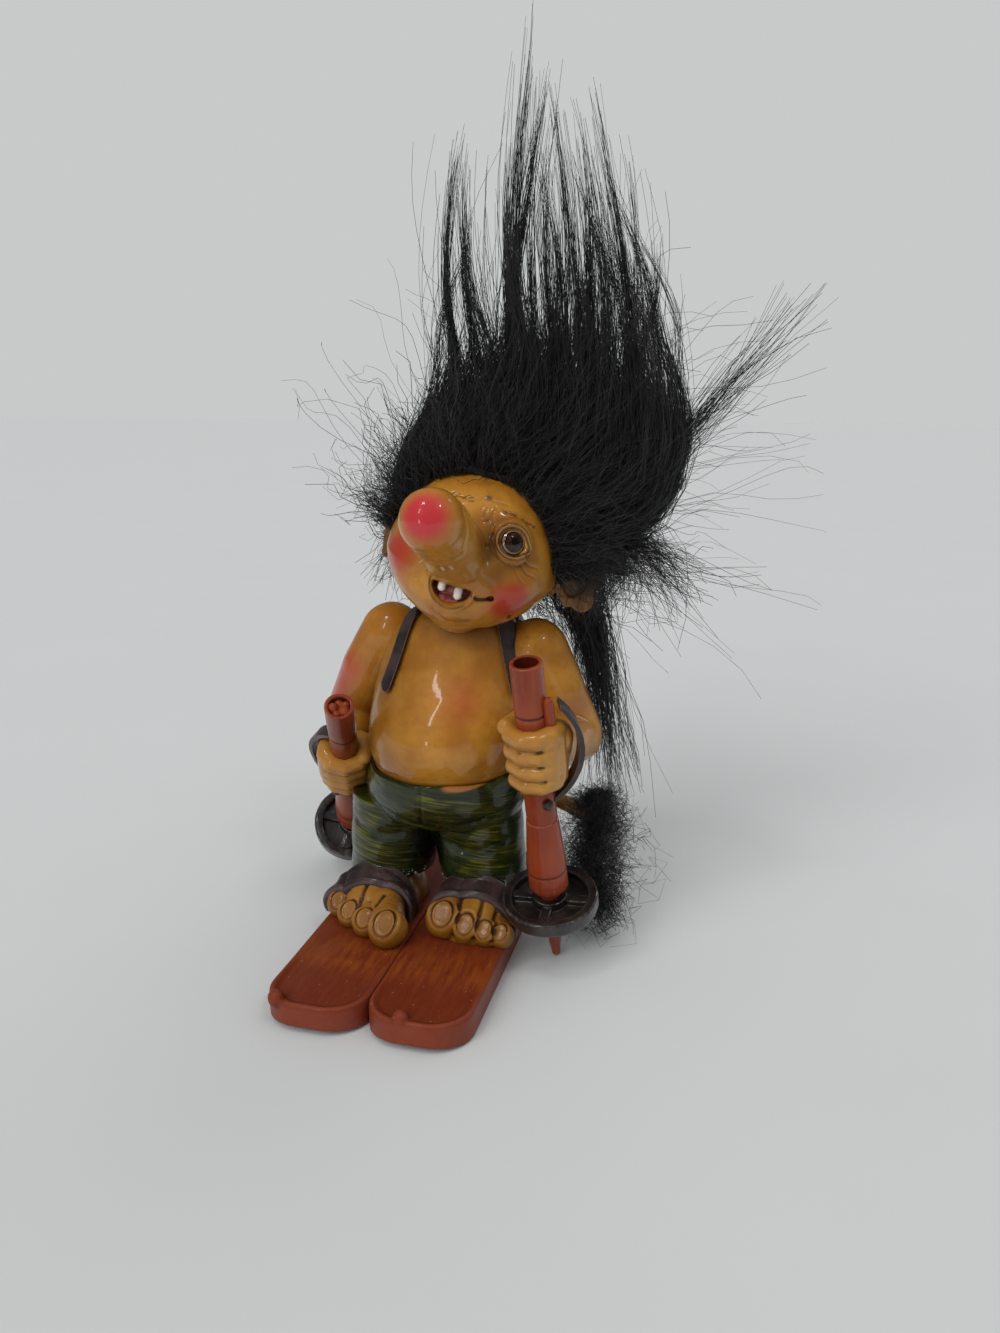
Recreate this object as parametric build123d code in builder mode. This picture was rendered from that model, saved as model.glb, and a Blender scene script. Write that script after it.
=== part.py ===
from build123d import *
import os

# A cast and painted Norwegian troll on skis, with glass eyes and a wig of long black fur.
# Millimetres. The troll faces -Y, +X is its own left and +Z is up. The origin is on the
# floor, between the two skis and under the body.

# Skis, side by side
SKI_LENGTH = 80.5
SKI_WIDTH = 22.0
SKI_THICKNESS = 6.0
SKI_REACH = 48.5  # tip ahead of the origin
SKI_TIP_RADIUS = 8.5
SKI_HEEL_RADIUS = 4.0
SKI_TIP_RISE = 1.4  # of the sole under the tip
SKI_TIP_BEND = 13.0  # length of that upturn
SKI_EDGE_ROUND = 0.8
NUB_RADIUS = 1.7  # button on the rim of each tip
RIGHT_NUB_INSET = 18.0  # from the inner edge of the ski
LEFT_NUB_INSET = 8.8

# Bare feet, pegged to the skis
FOOT_SETBACK = -3.5
RIGHT_FOOT_INSET = 11.5
LEFT_FOOT_INSET = 13.5
INSTEP_LENGTH = 11.0  # from the middle of the heel to the ball of the foot
INSTEP_RADIUS = 9.2
BALL_RADIUS = 8.2
ANKLE_RADIUS = 5.5
ANKLE_SPIGOT = 5.0
PEG_RADIUS = 2.0
PEG_LENGTH = 4.0
# Toes from the big one out: offset towards the outside, reach, radius
RIGHT_TOES = ((-8.0, 17.6, 4.2), (-1.8, 14.6, 3.3), (3.2, 11.6, 3.1), (7.4, 7.8, 3.0))
LEFT_TOES = ((-6.0, 10.4, 4.2), (-0.4, 11.6, 3.3), (4.0, 11.8, 2.9), (7.5, 11.4, 2.6))
TOE_STEM = 9.0  # from the middle of a toe back into the instep
TOE_SINK = 0.6  # the toes are flat underneath by this much
STRAP_SETBACK = -8.6  # the binding strap lies across the instep here
STRAP_WIDTH = 4.6
STRAP_THICKNESS = 1.2

# Trousers
HEM_HEIGHT = 10.5  # above the skis
LEG_HEIGHT = 17.0
WAIST_HEIGHT = 25.0  # above the hems
RIGHT_LEG_X = -11.0
LEFT_LEG_X = 12.0
LEG_Y = 3.0
HEM_RADIUS = 10.2
THIGH_RADIUS = 11.4
THIGH_LEAN = 2.5  # the thighs lean together by this much each
SEAT_DEPTH = 12.5  # from the waist to the underside of the hips
SEAT_WIDTH = 33.6
SEAT_LENGTH = 26.0
HIP_WIDTH = 37.6
HIP_DEPTH = 34.0
WAISTBAND = 1.1  # thickness of the cloth at the waist

# Torso: a round belly leaning over to the troll's left
WAIST_X = 3.0
WAIST_Y = 3.0
WAIST_WIDTH = 33.6
WAIST_DEPTH = 32.6
WAIST_TUCK = 5.5  # length inside the trousers
TUCK_WIDTH = 25.0
TUCK_DEPTH = 23.0
BELLY_RISE = 8.0  # rises are above the waist
BELLY_WIDTH = 36.4
BELLY_DEPTH = 35.6
CHEST_RISE = 24.0
CHEST_WIDTH = 36.0
CHEST_DEPTH = 26.5
SHOULDER_RISE = 31.0
SHOULDER_WIDTH = 31.0
SHOULDER_DEPTH = 21.5
NECK_RISE = 35.0
NECK_WIDTH = 18.0
NECK_DEPTH = 15.5
TORSO_LEAN = 3.8  # sideways, from waist to neck
CHEST_SETBACK = 2.0

# Braces over the shoulders
BRACE_WIDTH = 2.8
BRACE_THICKNESS = 1.1
RIGHT_BRACE_X = -3.5
LEFT_BRACE_X = 18.0
BRACE_DROP = 14.5  # front end, below the neck
BRACE_SLANT = 4.0  # outward, from the neck to the front end

# Poles: straight turned rods, each standing on its point
POLE_LENGTH = 75.4
RIGHT_POLE_FOOT = (-33.4, 33.2)
RIGHT_POLE_LEAN = (17.0, -46.4)  # from the point to the top, across the floor
LEFT_POLE_FOOT = (31.8, -6.8)
LEFT_POLE_LEAN = (-3.4, -18.2)
POLE_POINT_RADIUS = 1.0
FERRULE_RADIUS = 2.2
BASKET_HEIGHT = 15.5  # along the pole
BASKET_RADIUS = 10.6
BASKET_RIM = 2.2
BASKET_DEPTH = 3.2
BASKET_ROUND = 0.55
BASKET_FLOOR = 1.0  # thickness of the dish under the bars
HUB_RADIUS = 3.8
SPOKE_WIDTH = 2.2
SPOKE_DEPTH = 1.8
SPOKES = 4
SHAFT_RADIUS = 4.3
SHAFT_START = 18.5
SHAFT_DOME = 2.6
GRIP_START = 38.0
GRIP_RADIUS = 3.3
GRIP_CUP_RADIUS = 2.4
GRIP_CUP_DEPTH = 6.0
SPIGOT_RADIUS = 2.0
SPIGOT_LENGTH = 6.0

# Arms and fists
RIGHT_SHOULDER = (-11.5, 8.0, 70.0)
RIGHT_ELBOW = (-23.0, 12.0, 51.0)
LEFT_SHOULDER = (24.0, 4.0, 69.0)
LEFT_ELBOW = (32.5, 7.0, 49.0)
SHOULDER_RADIUS = 7.2
ELBOW_RADIUS = 6.4
WRIST_RADIUS = 5.4
WRIST_REACH = 9.0  # from the pole's axis to the wrist joint
ARM_PEG_LENGTH = 10.0
RIGHT_FIST_HEIGHT = 49.5  # along the pole
LEFT_FIST_HEIGHT = 54.3
FINGERS = 4
FINGER_RADIUS = 1.9
FINGER_DEPTH = 3.3  # from the grip out to the knuckles
FINGER_GROOVE = 1.3  # between two fingers
PALM_RADIUS = 6.3
WRIST_STRAP_WIDTH = 3.6
WRIST_STRAP_THICKNESS = 1.2
WRIST_STRAP_SLACK = 3.4  # from the fingers out to the middle of the loop
WRIST_STRAP_END = 3.6  # past the fist, up and down the grip
WRIST_STRAP_SWING = 2.0  # the loop goes this far outward for each step back along the arm

# Head, tipped over towards the troll's left
JAW_DROP = 17.2  # drops and rises are from the middle of the head, along its own axis
JAW_WIDTH = 13.0
JAW_FORWARD = 4.0
CHIN_DROP = 12.0
CHIN_WIDTH = 28.5
CHIN_DEPTH = 28.0
CHIN_FORWARD = 3.5
CHEEK_DROP = 5.0
CHEEK_WIDTH = 37.0
CHEEK_DEPTH = 36.5
CHEEK_FORWARD = 1.0
BROW_RISE = 4.0
BROW_WIDTH = 36.0
BROW_DEPTH = 35.5
TEMPLE_RISE = 11.5
TEMPLE_WIDTH = 28.6
TEMPLE_DEPTH = 28.2
CROWN_RISE = 17.2
CROWN_WIDTH = 11.0
HEAD_X = 10.5
HEAD_Y = 2.0
HEAD_RISE = 14.3  # middle of the head above the neck
HEAD_ROLL = 15.0
HEAD_YAW = 6.0
HEAD_PITCH = 2.0
NOSE_BASE = (-0.5, -13.5, 1.0)
NOSE_TIP = (-5.5, -29.5, 12.0)
NOSE_BASE_RADIUS = 6.6
NOSE_TIP_RADIUS = 5.6
EYE = (7.9, -13.2, 6.8)
EYE_RADIUS = 3.5
EYE_SHANK_RADIUS = 0.7
EYE_SHANK_LENGTH = 8.0
LID_RADIUS = 1.1
LID_RISE = 1.5  # in front of the middle of the eye
MOUTH_X = -0.4
MOUTH_Z = -5.8
MOUTH_WIDTH = 9.2
MOUTH_DROP = 4.6
MOUTH_DEPTH = 6.5
TOOTH_WIDTH = 2.0
TOOTH_HEIGHT = 1.8
TOOTH_THICKNESS = 1.6
TOOTH_SPACING = 3.0
TOOTH_ROUND = 0.6
TOOTH_SETBACK = 1.4  # behind the lips
TONGUE_LENGTH = 4.0
TONGUE_DROP = 0.6  # its top, below the middle of the mouth
EAR_LENGTH = 11.0
EAR_ROOT_HEIGHT = 8.0
EAR_BULGE = 4.6  # upper and lower edges, from the middle line
EAR_LOBE_RADIUS = 2.6
EAR_LOBE_REACH = 4.2
EAR_THICKNESS = 3.0
EAR_RIM = 1.7
EAR_DISH = 1.0
EAR_PEG_RADIUS = 1.4
EAR_PEG_LENGTH = 5.0
LEFT_EAR_ROOT = (19.2, 1.4, -3.6)
LEFT_EAR_WAY = (0.70, 0.24, 0.67)
RIGHT_EAR_ROOT = (-19.4, 2.0, -3.0)
RIGHT_EAR_WAY = (-0.15, 0.93, 0.33)

# Wig: a cloth cap that carries the fur
CAP_THICKNESS = 1.2
HAIRLINE_Y = -5.0  # the cap starts here on the crown, in the head's own frame
HAIRLINE_SLOPE = 30.0  # the hairline falls back behind the ears
HAIR_BASE_X = 20.5
HAIR_BASE_Y = 16.5
HAIR_BASE_WIDTH = 54.0
HAIR_BASE_DEPTH = 33.0
HAIR_BASE_RISE = 6.0  # rises of the hair are above the middle of the head
HAIR_X = 23.6
HAIR_Y = 14.0
HAIR_WIDTH = 60.0
HAIR_DEPTH = 43.0
HAIR_SWELL_RISE = 22.0
HAIR_SHOULDER_WIDTH = 51.0
HAIR_SHOULDER_DEPTH = 37.0
HAIR_SHOULDER_RISE = 36.0
HAIR_TOP_X = 26.0
HAIR_TOP_WIDTH = 34.0
HAIR_TOP_DEPTH = 25.0
HAIR_TOP_RISE = 47.0
# Upright locks: x and y of the foot, x, y and rise of the tip
LOCKS = (
    (3.5, 15.0, 7, 16, 84),
    (8.5, 9.5, 10, 12, 79),
    (17.5, 13.0, 22, 17, 103),
    (20.0, 4.5, 19, 9, 85),
    (29.0, 12.0, 24, 14, 91),
    (30.0, 22.0, 32, 19, 97),
    (37.0, 6.5, 33, 9, 79),
    (42.0, 14.0, 38, 15, 91),
    (48.0, 15.0, 37, 17, 75),
    (13.0, 27.0, 15, 27, 83),
    (33.0, 29.5, 33, 29, 79),
    (44.0, 23.0, 44, 22, 69),
)
LOCK_FOOT_RISE = 36.0
LOCK_RADIUS = 4.4
LOCK_TIP_RADIUS = 0.8
NAPE_WIDTH = 36.0
NAPE_DEPTH = 13.0
NAPE_RISE = -14.0
NAPE_X = 24.0
NAPE_Y = 24.0
# Loose locks: x, y, rise
SPRAY = ((47.0, 14.0, 23.0), (62.0, 15.0, 38.0), (75.0, 15.0, 54.0))
LOW_SPRAY = ((40.0, 20.0, -2.0), (54.0, 17.5, -8.0), (66.5, 15.0, -14.0))
FALL = ((36.0, 23.0, -12.0), (38.5, 19.0, -30.0), (39.0, 15.0, -50.0))
TEMPLE_LOCK = ((-6.0, 18.0, 11.0), (-12.0, 15.0, 2.0), (-13.0, 11.0, -9.0))
WISP_RADII = (3.6, 2.6, 0.7)

# Tail, bent round to the left, and its brush of fur
TAIL_ROOT = (4.0, 17.0, -8.5)  # x, y, below the waist
TAIL_BEND = (26.0, 27.0, -18.0)
TAIL_END = (37.5, 10.0, -16.5)
TAIL_RADIUS = 2.0
BRUSH_X = 38.5
BRUSH_Y = 6.0
BRUSH_BOTTOM = 0.5
BRUSH_HEIGHT = 36.5
BRUSH_WIDTH = 13.0
BRUSH_DEPTH = 12.0
BRUSH_TIP_WIDTH = 5.0
BRUSH_TIP_DEPTH = 4.6

# Fits
PEG_CLEARANCE = 0.1
SEAT_GAP = 0.2  # between pieces seated on a curved face
JOINT_SWELL = 0.25  # limbs swell this much at their joints

# Heights that follow from the sizes above
ski_top = SKI_THICKNESS
hem_z = ski_top + HEM_HEIGHT
waist_z = hem_z + WAIST_HEIGHT
neck_z = waist_z + NECK_RISE
head_centre = Vector(HEAD_X, HEAD_Y, neck_z + HEAD_RISE)
head_plane = Plane(Location(head_centre, (HEAD_PITCH, HEAD_ROLL, HEAD_YAW), Extrinsic.XYZ))

os.makedirs("parts", exist_ok=True)


def write(builder, name):
    """Label a finished piece and write it."""
    builder.part.label = name
    export_step(builder.part, f"parts/{name}.step")


def on_head(point):
    """A point of the head's own frame, in the figure's frame."""
    return head_plane.from_local_coords(Vector(*point))


def turning_plane(plane, height=0.0):
    """A plane through the axis for profiles drawn as (radius, height)."""
    return Plane(plane.origin + plane.z_dir * height, x_dir=plane.x_dir, z_dir=-plane.y_dir)


def limb(path, radii, grow=0.0):
    """Tapering round segments from joint to joint, swollen a little at each joint."""
    with BuildPart() as form:
        for start, end, near, far in zip(path, path[1:], radii, radii[1:]):
            axis = Vector(*end) - Vector(*start)
            with BuildSketch(turning_plane(Plane(start, z_dir=axis))):
                Polygon((0, 0), (near + grow, 0), (far + grow, axis.length), (0, axis.length), align=None)
            revolve(axis=Axis(start, axis))
        for point, radius in zip(path, radii):
            with Locations(Vector(*point)):
                Sphere(radius + JOINT_SWELL + grow)
    return form.part


def stack(sections, grow=0.0, base=Plane.XY):
    """A smooth form through level ellipses, each (z, x, y, width, depth), grown all round."""
    with BuildPart() as form:
        for number, (z, x, y, width, depth) in enumerate(sections):
            end = {0: -grow, len(sections) - 1: grow}.get(number, 0.0)
            with BuildSketch(base.offset(z + end)):
                with Locations((x, y)):
                    Ellipse(width / 2 + grow, depth / 2 + grow)
        loft()
    return form.part


def torso_form(grow):
    """The belly, chest and neck."""

    def section(rise, width, depth, back=0.0):
        return (waist_z + rise, WAIST_X + TORSO_LEAN * rise / NECK_RISE, WAIST_Y + back, width, depth)

    return stack(
        (
            section(-WAIST_TUCK, TUCK_WIDTH, TUCK_DEPTH),
            section(0, WAIST_WIDTH, WAIST_DEPTH),
            section(BELLY_RISE, BELLY_WIDTH, BELLY_DEPTH, -CHEST_SETBACK / 2),
            section(CHEST_RISE, CHEST_WIDTH, CHEST_DEPTH, CHEST_SETBACK),
            section(SHOULDER_RISE, SHOULDER_WIDTH, SHOULDER_DEPTH, CHEST_SETBACK),
            section(NECK_RISE, NECK_WIDTH, NECK_DEPTH, CHEST_SETBACK),
        ),
        grow,
    )


def head_form(grow):
    """The skull with its full cheeks and chin, in the head's own frame."""
    return stack(
        (
            (-JAW_DROP, 0, -JAW_FORWARD, JAW_WIDTH, JAW_WIDTH),
            (-CHIN_DROP, 0, -CHIN_FORWARD, CHIN_WIDTH, CHIN_DEPTH),
            (-CHEEK_DROP, 0, -CHEEK_FORWARD, CHEEK_WIDTH, CHEEK_DEPTH),
            (BROW_RISE, 0, 0, BROW_WIDTH, BROW_DEPTH),
            (TEMPLE_RISE, 0, 0, TEMPLE_WIDTH, TEMPLE_DEPTH),
            (CROWN_RISE, 0, 0, CROWN_WIDTH, CROWN_WIDTH),
        ),
        grow,
        head_plane,
    )


torso_solid = torso_form(0.0)
torso_seat = torso_form(SEAT_GAP)
head_solid = head_form(0.0)
head_room = head_form(SEAT_GAP)


def make_ski(side, nub_inset, foot_inset):
    """A ski: its side profile drawn out across the width, then trimmed to the plan outline."""
    tip, heel = -SKI_REACH, SKI_LENGTH - SKI_REACH
    with BuildPart() as ski:
        with BuildSketch(Plane.YZ.offset(min(0.0, side * SKI_WIDTH))):
            with BuildLine():
                sole = Line((heel, 0), (tip + SKI_TIP_BEND, 0))
                upturn = TangentArc(sole @ 1, (tip, SKI_TIP_RISE), tangent=sole % 1)
                Polyline(upturn @ 1, (tip, ski_top), (heel, ski_top), sole @ 0)
            make_face()
        extrude(amount=SKI_WIDTH)
        with BuildSketch() as outline:
            with Locations((side * SKI_WIDTH / 2, (tip + heel) / 2)):
                Rectangle(SKI_WIDTH, SKI_LENGTH)
            fillet(outline.vertices().group_by(Axis.Y)[0], SKI_TIP_RADIUS)
            fillet(outline.vertices().group_by(Axis.Y)[-1], SKI_HEEL_RADIUS)
        extrude(amount=ski_top, mode=Mode.INTERSECT)
        fillet(ski.faces().sort_by(Axis.Z)[-1].edges(), SKI_EDGE_ROUND)
        with Locations((side * nub_inset, tip + NUB_RADIUS, ski_top)):
            Sphere(NUB_RADIUS)
        with Locations((side * foot_inset, FOOT_SETBACK, ski_top)):
            Hole(PEG_RADIUS + PEG_CLEARANCE, PEG_LENGTH + PEG_CLEARANCE)
    return ski


def foot_form(side, inset, toes, grow):
    """Instep and toes on the ski, grown all round."""
    middle = (side * inset, FOOT_SETBACK, ski_top)
    heel = (middle[0], FOOT_SETBACK + INSTEP_LENGTH / 2, ski_top)
    ball = (middle[0], FOOT_SETBACK - INSTEP_LENGTH / 2, ski_top)
    with BuildPart() as form:
        add(limb((heel, ball), (INSTEP_RADIUS, BALL_RADIUS), grow))
        for outward, reach, radius in toes:
            toe = (middle[0] + side * outward, FOOT_SETBACK - reach, ski_top + radius - TOE_SINK)
            stem = (middle[0] + side * outward / 2, toe[1] + TOE_STEM, toe[2])
            add(limb((toe, stem), (radius, radius), grow))
        split(bisect_by=Plane.XY.offset(ski_top), keep=Keep.TOP)
    return form.part


def make_foot(side, inset, leg_x, toes):
    """A bare foot with the peg that enters the ski and the ankle that enters the trousers."""
    form = foot_form(side, inset, toes, 0.0)
    with BuildPart() as foot:
        add(form)
        with Locations((leg_x, LEG_Y, ski_top)):
            Cylinder(ANKLE_RADIUS, HEM_HEIGHT + ANKLE_SPIGOT, align=(Align.CENTER, Align.CENTER, Align.MIN))
        with Locations((side * inset, FOOT_SETBACK, ski_top)):
            Cylinder(PEG_RADIUS, PEG_LENGTH, align=(Align.CENTER, Align.CENTER, Align.MAX))
    return foot


def make_binding_strap(side, inset, toes):
    """A strap bent over the instep from one side of the ski to the other."""
    under = foot_form(side, inset, toes, SEAT_GAP)
    over = foot_form(side, inset, toes, SEAT_GAP + STRAP_THICKNESS)
    with BuildPart() as strap:
        add(over)
        add(under, mode=Mode.SUBTRACT)
        with Locations((side * inset, STRAP_SETBACK, ski_top)):
            Box(2 * SKI_WIDTH, STRAP_WIDTH, 2 * SKI_WIDTH, mode=Mode.INTERSECT)
    return strap


write(make_ski(-1, RIGHT_NUB_INSET, RIGHT_FOOT_INSET), "right_ski")
write(make_ski(1, LEFT_NUB_INSET, LEFT_FOOT_INSET), "left_ski")
write(make_foot(-1, RIGHT_FOOT_INSET, RIGHT_LEG_X, RIGHT_TOES), "right_foot")
write(make_foot(1, LEFT_FOOT_INSET, LEFT_LEG_X, LEFT_TOES), "left_foot")
write(make_binding_strap(-1, RIGHT_FOOT_INSET, RIGHT_TOES), "right_binding_strap")
write(make_binding_strap(1, LEFT_FOOT_INSET, LEFT_TOES), "left_binding_strap")


def trouser_form(grow):
    """Two flared legs run into the hips, grown all round."""
    hips = stack(
        (
            (waist_z - SEAT_DEPTH, WAIST_X, WAIST_Y, SEAT_WIDTH, SEAT_LENGTH),
            (waist_z - SEAT_DEPTH / 2, WAIST_X, WAIST_Y, HIP_WIDTH, HIP_DEPTH),
            (waist_z, WAIST_X, WAIST_Y, WAIST_WIDTH + 2 * WAISTBAND, WAIST_DEPTH + 2 * WAISTBAND),
        ),
        grow,
    )
    with BuildPart() as form:
        add(hips)
        for leg_x, lean in ((RIGHT_LEG_X, THIGH_LEAN), (LEFT_LEG_X, -THIGH_LEAN)):
            with BuildSketch(Plane.XY.offset(hem_z - grow)):
                with Locations((leg_x, LEG_Y)):
                    Circle(HEM_RADIUS + grow)
            with BuildSketch(Plane.XY.offset(hem_z + LEG_HEIGHT)):
                with Locations((leg_x + lean, LEG_Y)):
                    Circle(THIGH_RADIUS + grow)
            loft(ruled=True)
    return form.part


# Trousers: hollowed for the belly and the ankles
trouser_solid = trouser_form(0.0)
trouser_room = trouser_form(SEAT_GAP)
with BuildPart() as trousers:
    add(trouser_solid)
    with Locations((RIGHT_LEG_X, LEG_Y, hem_z), (LEFT_LEG_X, LEG_Y, hem_z)):
        Cylinder(
            ANKLE_RADIUS + PEG_CLEARANCE,
            ANKLE_SPIGOT + PEG_CLEARANCE,
            align=(Align.CENTER, Align.CENTER, Align.MIN),
            mode=Mode.SUBTRACT,
        )
    add(torso_seat, mode=Mode.SUBTRACT)
write(trousers, "trousers")


def peg_plane(shoulder):
    """From a shoulder joint in towards the middle of the chest."""
    chest = Vector(WAIST_X + TORSO_LEAN, WAIST_Y + CHEST_SETBACK, shoulder[2])
    return Plane(shoulder, z_dir=chest - Vector(*shoulder))


with BuildPart() as torso:
    add(torso_solid)
    for shoulder in (RIGHT_SHOULDER, LEFT_SHOULDER):
        with Locations(peg_plane(shoulder)):
            Cylinder(
                PEG_RADIUS + PEG_CLEARANCE,
                ARM_PEG_LENGTH + PEG_CLEARANCE,
                align=(Align.CENTER, Align.CENTER, Align.MIN),
                mode=Mode.SUBTRACT,
            )
write(torso, "torso")


def brace_form(side, top_x, inner, outer, widen):
    """A brace between two depths off the torso: a short front end and a back reaching the waist."""
    lining = torso_form(inner)
    face = torso_form(outer)
    with BuildPart() as brace:
        for drop, towards in ((BRACE_DROP, 1), (NECK_RISE - BRACE_WIDTH, -1)):
            top = Vector(top_x, neck_z)
            end = Vector(top_x + side * BRACE_SLANT, neck_z - drop)
            with BuildSketch(Plane.XZ.offset(-WAIST_Y - CHEST_SETBACK)):
                with BuildLine():
                    run = Line(top, end)
                SlotArc(run, BRACE_WIDTH + 2 * widen)
            extrude(amount=towards * BELLY_DEPTH)
        add(face, mode=Mode.INTERSECT)
        for neighbour in (lining, head_room):
            add(neighbour, mode=Mode.SUBTRACT)
    return brace


def pole_plane(foot, lean):
    """The pole's own frame: its point at the origin, its axis along Z."""
    rise = (POLE_LENGTH**2 - lean[0] ** 2 - lean[1] ** 2) ** 0.5
    return Plane((*foot, POLE_POINT_RADIUS + PEG_CLEARANCE), z_dir=(*lean, rise))


def make_shaft(plane):
    """The lower pole: point, ferrule, domed shaft and the spigot that enters the grip."""
    with BuildPart() as shaft:
        with BuildSketch(turning_plane(plane)):
            with BuildLine():
                point = RadiusArc((0, -POLE_POINT_RADIUS), (POLE_POINT_RADIUS, 0), -POLE_POINT_RADIUS)
                ferrule = Polyline(
                    point @ 1,
                    (FERRULE_RADIUS, BASKET_HEIGHT - BASKET_DEPTH),
                    (FERRULE_RADIUS, SHAFT_START),
                )
                dome = TangentArc(ferrule @ 1, (SHAFT_RADIUS, SHAFT_START + SHAFT_DOME), tangent=(1, 0))
                Polyline(
                    dome @ 1,
                    (SHAFT_RADIUS, GRIP_START),
                    (SPIGOT_RADIUS, GRIP_START),
                    (SPIGOT_RADIUS, GRIP_START + SPIGOT_LENGTH),
                    (0, GRIP_START + SPIGOT_LENGTH),
                    point @ 0,
                )
            make_face()
        revolve(axis=Axis(plane.origin, plane.z_dir))
    return shaft


def make_grip(plane):
    """The upper pole: a socket for the shaft's spigot below and a hollow cup at the top."""
    cup_floor = POLE_LENGTH - GRIP_CUP_DEPTH
    socket = SPIGOT_RADIUS + PEG_CLEARANCE
    socket_end = GRIP_START + SPIGOT_LENGTH + PEG_CLEARANCE
    with BuildPart() as grip:
        with BuildSketch(turning_plane(plane)):
            with BuildLine():
                Polyline(
                    (socket, GRIP_START),
                    (GRIP_RADIUS, GRIP_START),
                    (GRIP_RADIUS, POLE_LENGTH),
                    (GRIP_CUP_RADIUS, POLE_LENGTH),
                    (GRIP_CUP_RADIUS, cup_floor),
                    (0, cup_floor),
                    (0, socket_end),
                    (socket, socket_end),
                    close=True,
                )
            make_face()
        revolve(axis=Axis(plane.origin, plane.z_dir))
    return grip


def make_basket(plane):
    """A shallow dish with bars across it, round a hub that sits on the ferrule."""
    level = Plane(plane.origin + plane.z_dir * BASKET_HEIGHT, x_dir=plane.x_dir, z_dir=plane.z_dir)
    with BuildPart(level) as basket:
        Cylinder(BASKET_RADIUS, BASKET_DEPTH)
        Cylinder(BASKET_RADIUS - BASKET_RIM, BASKET_DEPTH, mode=Mode.SUBTRACT)
        fillet(basket.edges(), BASKET_ROUND)
        Cylinder(HUB_RADIUS, BASKET_DEPTH)
        with Locations((0, 0, -SPOKE_DEPTH / 2)):
            Cylinder(BASKET_RADIUS - BASKET_RIM / 2, BASKET_FLOOR)
        with PolarLocations((HUB_RADIUS + BASKET_RADIUS - BASKET_RIM / 2) / 2, SPOKES):
            Box(BASKET_RADIUS - BASKET_RIM / 2 - HUB_RADIUS / 2, SPOKE_WIDTH, SPOKE_DEPTH)
        Cylinder(FERRULE_RADIUS + PEG_CLEARANCE, BASKET_DEPTH, mode=Mode.SUBTRACT)
    return basket


def make_arm(shoulder, elbow, fist, brace_room):
    """Upper arm and forearm, seated on the torso, with pegs into the chest and the hand."""
    reach = (Vector(*elbow) - fist).normalized()
    wrist = fist + reach * WRIST_REACH
    with BuildPart() as arm:
        add(limb((shoulder, elbow, wrist), (SHOULDER_RADIUS, ELBOW_RADIUS, WRIST_RADIUS)))
        split(bisect_by=Plane(wrist, z_dir=reach), keep=Keep.TOP)
        for neighbour in (torso_seat, head_room, brace_room):
            add(neighbour, mode=Mode.SUBTRACT)
        for peg, length in ((peg_plane(shoulder), ARM_PEG_LENGTH), (Plane(wrist, z_dir=-reach), PEG_LENGTH)):
            with Locations(peg):
                Cylinder(PEG_RADIUS, length, align=(Align.CENTER, Align.CENTER, Align.MIN))
    return arm


def make_hand(plane, fist, elbow):
    """A fist: fingers stacked round the pole, a palm behind them and a flat wrist."""
    reach = (Vector(*elbow) - fist).normalized()
    wrist = fist + reach * WRIST_REACH
    knuckle = GRIP_RADIUS + FINGER_DEPTH
    groove = knuckle - FINGER_GROOVE
    half = FINGERS * FINGER_RADIUS
    with BuildPart() as hand:
        with BuildSketch(turning_plane(plane, (fist - plane.origin).dot(plane.z_dir))):
            with BuildLine():
                for number in range(FINGERS):
                    low = 2 * FINGER_RADIUS * number - half
                    high = low + 2 * FINGER_RADIUS
                    ThreePointArc((groove, low), (knuckle, (low + high) / 2), (groove, high))
                Polyline((groove, half), (0, half), (0, -half), (groove, -half))
            make_face()
        revolve(axis=Axis(plane.origin, plane.z_dir))
        add(limb((fist, wrist), (PALM_RADIUS, WRIST_RADIUS)))
        split(bisect_by=Plane(wrist, z_dir=reach), keep=Keep.BOTTOM)
        for neighbour in (trouser_room, torso_seat):
            add(neighbour, mode=Mode.SUBTRACT)
        with Locations(Plane(fist, z_dir=plane.z_dir)):
            Cylinder(GRIP_RADIUS + PEG_CLEARANCE, POLE_LENGTH, mode=Mode.SUBTRACT)
        with Locations(Plane(wrist, z_dir=-reach)):
            Cylinder(
                PEG_RADIUS + PEG_CLEARANCE,
                PEG_LENGTH + PEG_CLEARANCE,
                align=(Align.CENTER, Align.CENTER, Align.MIN),
                mode=Mode.SUBTRACT,
            )
    return hand


def make_wrist_strap(side, plane, fist, elbow, hand):
    """A loop from the grip above the fist, out round the wrist and back to the grip below it."""
    reach = (Vector(*elbow) - fist).normalized()
    outward = reach.cross(plane.z_dir) * side
    loop = (outward * WRIST_STRAP_SWING + reach).normalized()
    half = FINGERS * FINGER_RADIUS + WRIST_STRAP_END
    near = GRIP_RADIUS + PEG_CLEARANCE
    far = GRIP_RADIUS + FINGER_DEPTH + WRIST_STRAP_SLACK
    with BuildPart() as strap:
        with BuildSketch(Plane(fist, x_dir=loop, z_dir=loop.cross(plane.z_dir))):
            with BuildLine():
                inner = ThreePointArc((near, half), (far - WRIST_STRAP_THICKNESS, 0), (near, -half))
                outer = ThreePointArc(
                    (near, half + WRIST_STRAP_THICKNESS), (far, 0), (near, -half - WRIST_STRAP_THICKNESS)
                )
                Line(inner @ 0, outer @ 0)
                Line(inner @ 1, outer @ 1)
            make_face()
        extrude(amount=WRIST_STRAP_WIDTH / 2, both=True)
        with Locations(Plane(fist, z_dir=plane.z_dir)):
            Cylinder(near, POLE_LENGTH, mode=Mode.SUBTRACT)
        add(hand.part, mode=Mode.SUBTRACT)
    return strap


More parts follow.
